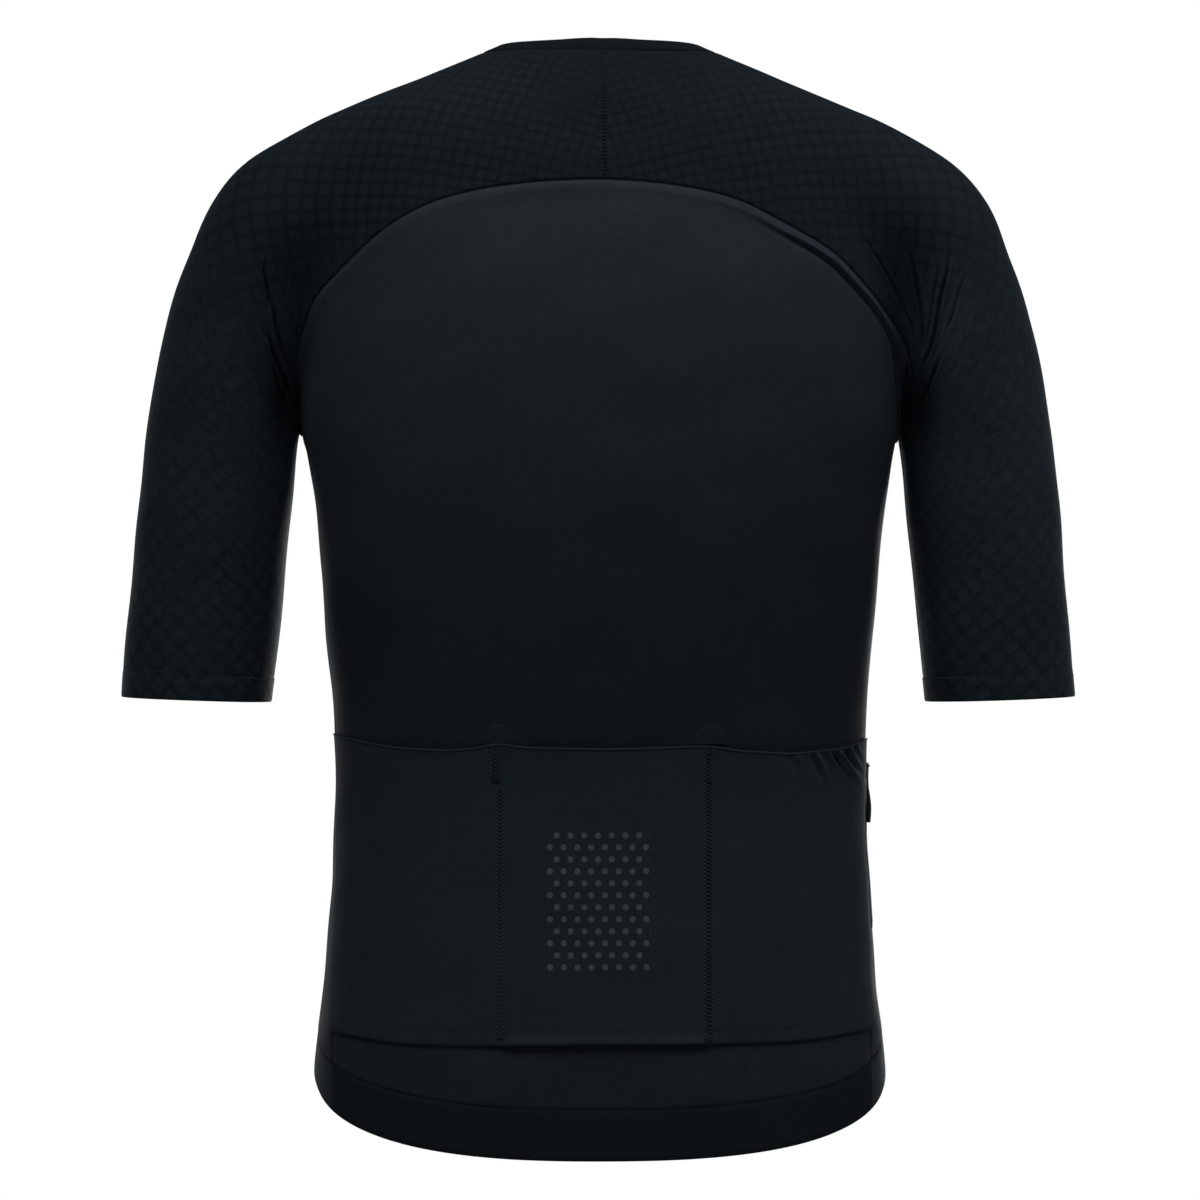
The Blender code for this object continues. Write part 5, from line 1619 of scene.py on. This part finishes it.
def studio():
    """White surroundings that give a low even light, a large soft light above and behind the
    back, weaker ones to the sides and the front, and a pale floor."""
    scene = bpy.context.scene
    scene.view_settings.view_transform = "Standard"
    world = bpy.data.worlds.new("studio")
    scene.world = world
    world.use_nodes = True
    tree = world.node_tree
    tree.nodes.clear()
    which = tree.nodes.new("ShaderNodeLightPath")
    mix = tree.nodes.new("ShaderNodeMixShader")
    out = tree.nodes.new("ShaderNodeOutputWorld")
    tree.links.new(which.outputs["Is Camera Ray"], mix.inputs[0])
    for slot, colour, strength in ((1, (0.97, 0.99, 1, 1), 0.055), (2, (1, 1, 1, 1), 1.0)):
        shade = tree.nodes.new("ShaderNodeBackground")
        shade.inputs["Color"].default_value = colour
        shade.inputs["Strength"].default_value = strength
        tree.links.new(shade.outputs[0], mix.inputs[slot])
    tree.links.new(mix.outputs[0], out.inputs["Surface"])
    for light in LIGHTS:
        soft_light(*light)
    t = np.linspace(0, 2 * np.pi, 65)[:-1]
    radius = np.array([0.001, 0.6, 1.2])[:, None]
    ring = np.stack([radius * np.cos(t), radius * np.sin(t), FLOOR_HEIGHT + 0 * radius * t], -1)
    index = np.arange(3 * 64).reshape(3, 64)
    index = np.concatenate([index, index[:, :1]], axis=1)
    pale = Finish("pale_floor", (0.82, 0.82, 0.82), 0.8)
    grain = pale.noise(0.05, 2.0)
    pale.cover(pale.mixed(grain, (0.80, 0.80, 0.80), (0.84, 0.84, 0.84)))
    floor = add_object("floor", ring.reshape(-1, 3), quads(index), pale.surface)
    lens = bpy.data.cameras.new("camera")
    lens.lens = 135
    lens.sensor_width = 36
    camera = bpy.data.objects.new("camera", lens)
    camera.location = CAMERA
    way = Vector(CAMERA_AIM) - camera.location
    camera.rotation_euler = way.to_track_quat("-Z", "Y").to_euler()
    scene.collection.objects.link(camera)
    scene.camera = camera


def cut_piece(piece, node):
    """A panel and the solid it stands for: the panel goes on the jersey and the solid is hidden."""
    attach(piece, "jersey")
    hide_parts(node)


def trim(piece, node=None, body="jersey"):
    """A small piece, and the solid that it stands for if it has one."""
    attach(piece, body)
    if node:
        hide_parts(node)


def dress():
    body = body_knit().surface
    yoke = yoke_knit().surface
    band = smooth_band().surface
    back, _ = back_panel(body)
    cut_piece(back, "back_panel")
    cuffs = []
    for side, word in SIDES.items():
        cut_piece(front_panel(side, body)[0], "front_" + word)
        arm, cuff = sleeve(side, yoke)
        cut_piece(arm, "sleeve_" + word)
        cuffs.append(cuff)
        cut_piece(hem_band(side, body)[0], "hem_front_" + word)
        cut_piece(tack(side, body)[0], "pocket_tack_" + word)
    cut_piece(hem_band(0, gripper_elastic().surface)[0], "hem_back")
    cut_piece(collar(band)[0], "neck_band")
    pouch = pocket_knit().surface
    pocket_piece, outer = pockets(pouch)
    cut_piece(pocket_piece, "pocket_panel")
    trim(binding(outer, pouch))
    light = thread("light_thread", (0.033, 0.044, 0.053)).surface
    dark = thread("dark_thread", (0.014, 0.019, 0.023)).surface
    plain = thread("body_thread", (0.026, 0.036, 0.044)).surface
    for row in divider_stitches(outer, light, dark) + hem_stitches(outer, cuffs, plain):
        trim(row)
    tape = zip_tape().surface
    coil = zip_coil().surface
    trim(tape_front(tape)[0], "zip_front")
    trim(tape_pocket(tape)[0], "pocket_zip")
    trim(coil_front(coil))
    trim(coil_pocket(coil))
    trim(pull_cord(braid().surface), "pocket_zip_pull", "pocket_zip_tab")
    metal = zip_metal().surface
    plate, bridge = pocket_slider(metal)
    trim(plate, "pocket_zip_slider")
    trim(bridge)
    for name in ("zip_front_slider", "zip_front_pull"):
        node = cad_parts[name]
        node.data.materials.clear()
        node.data.materials.append(metal)


dress()
studio()
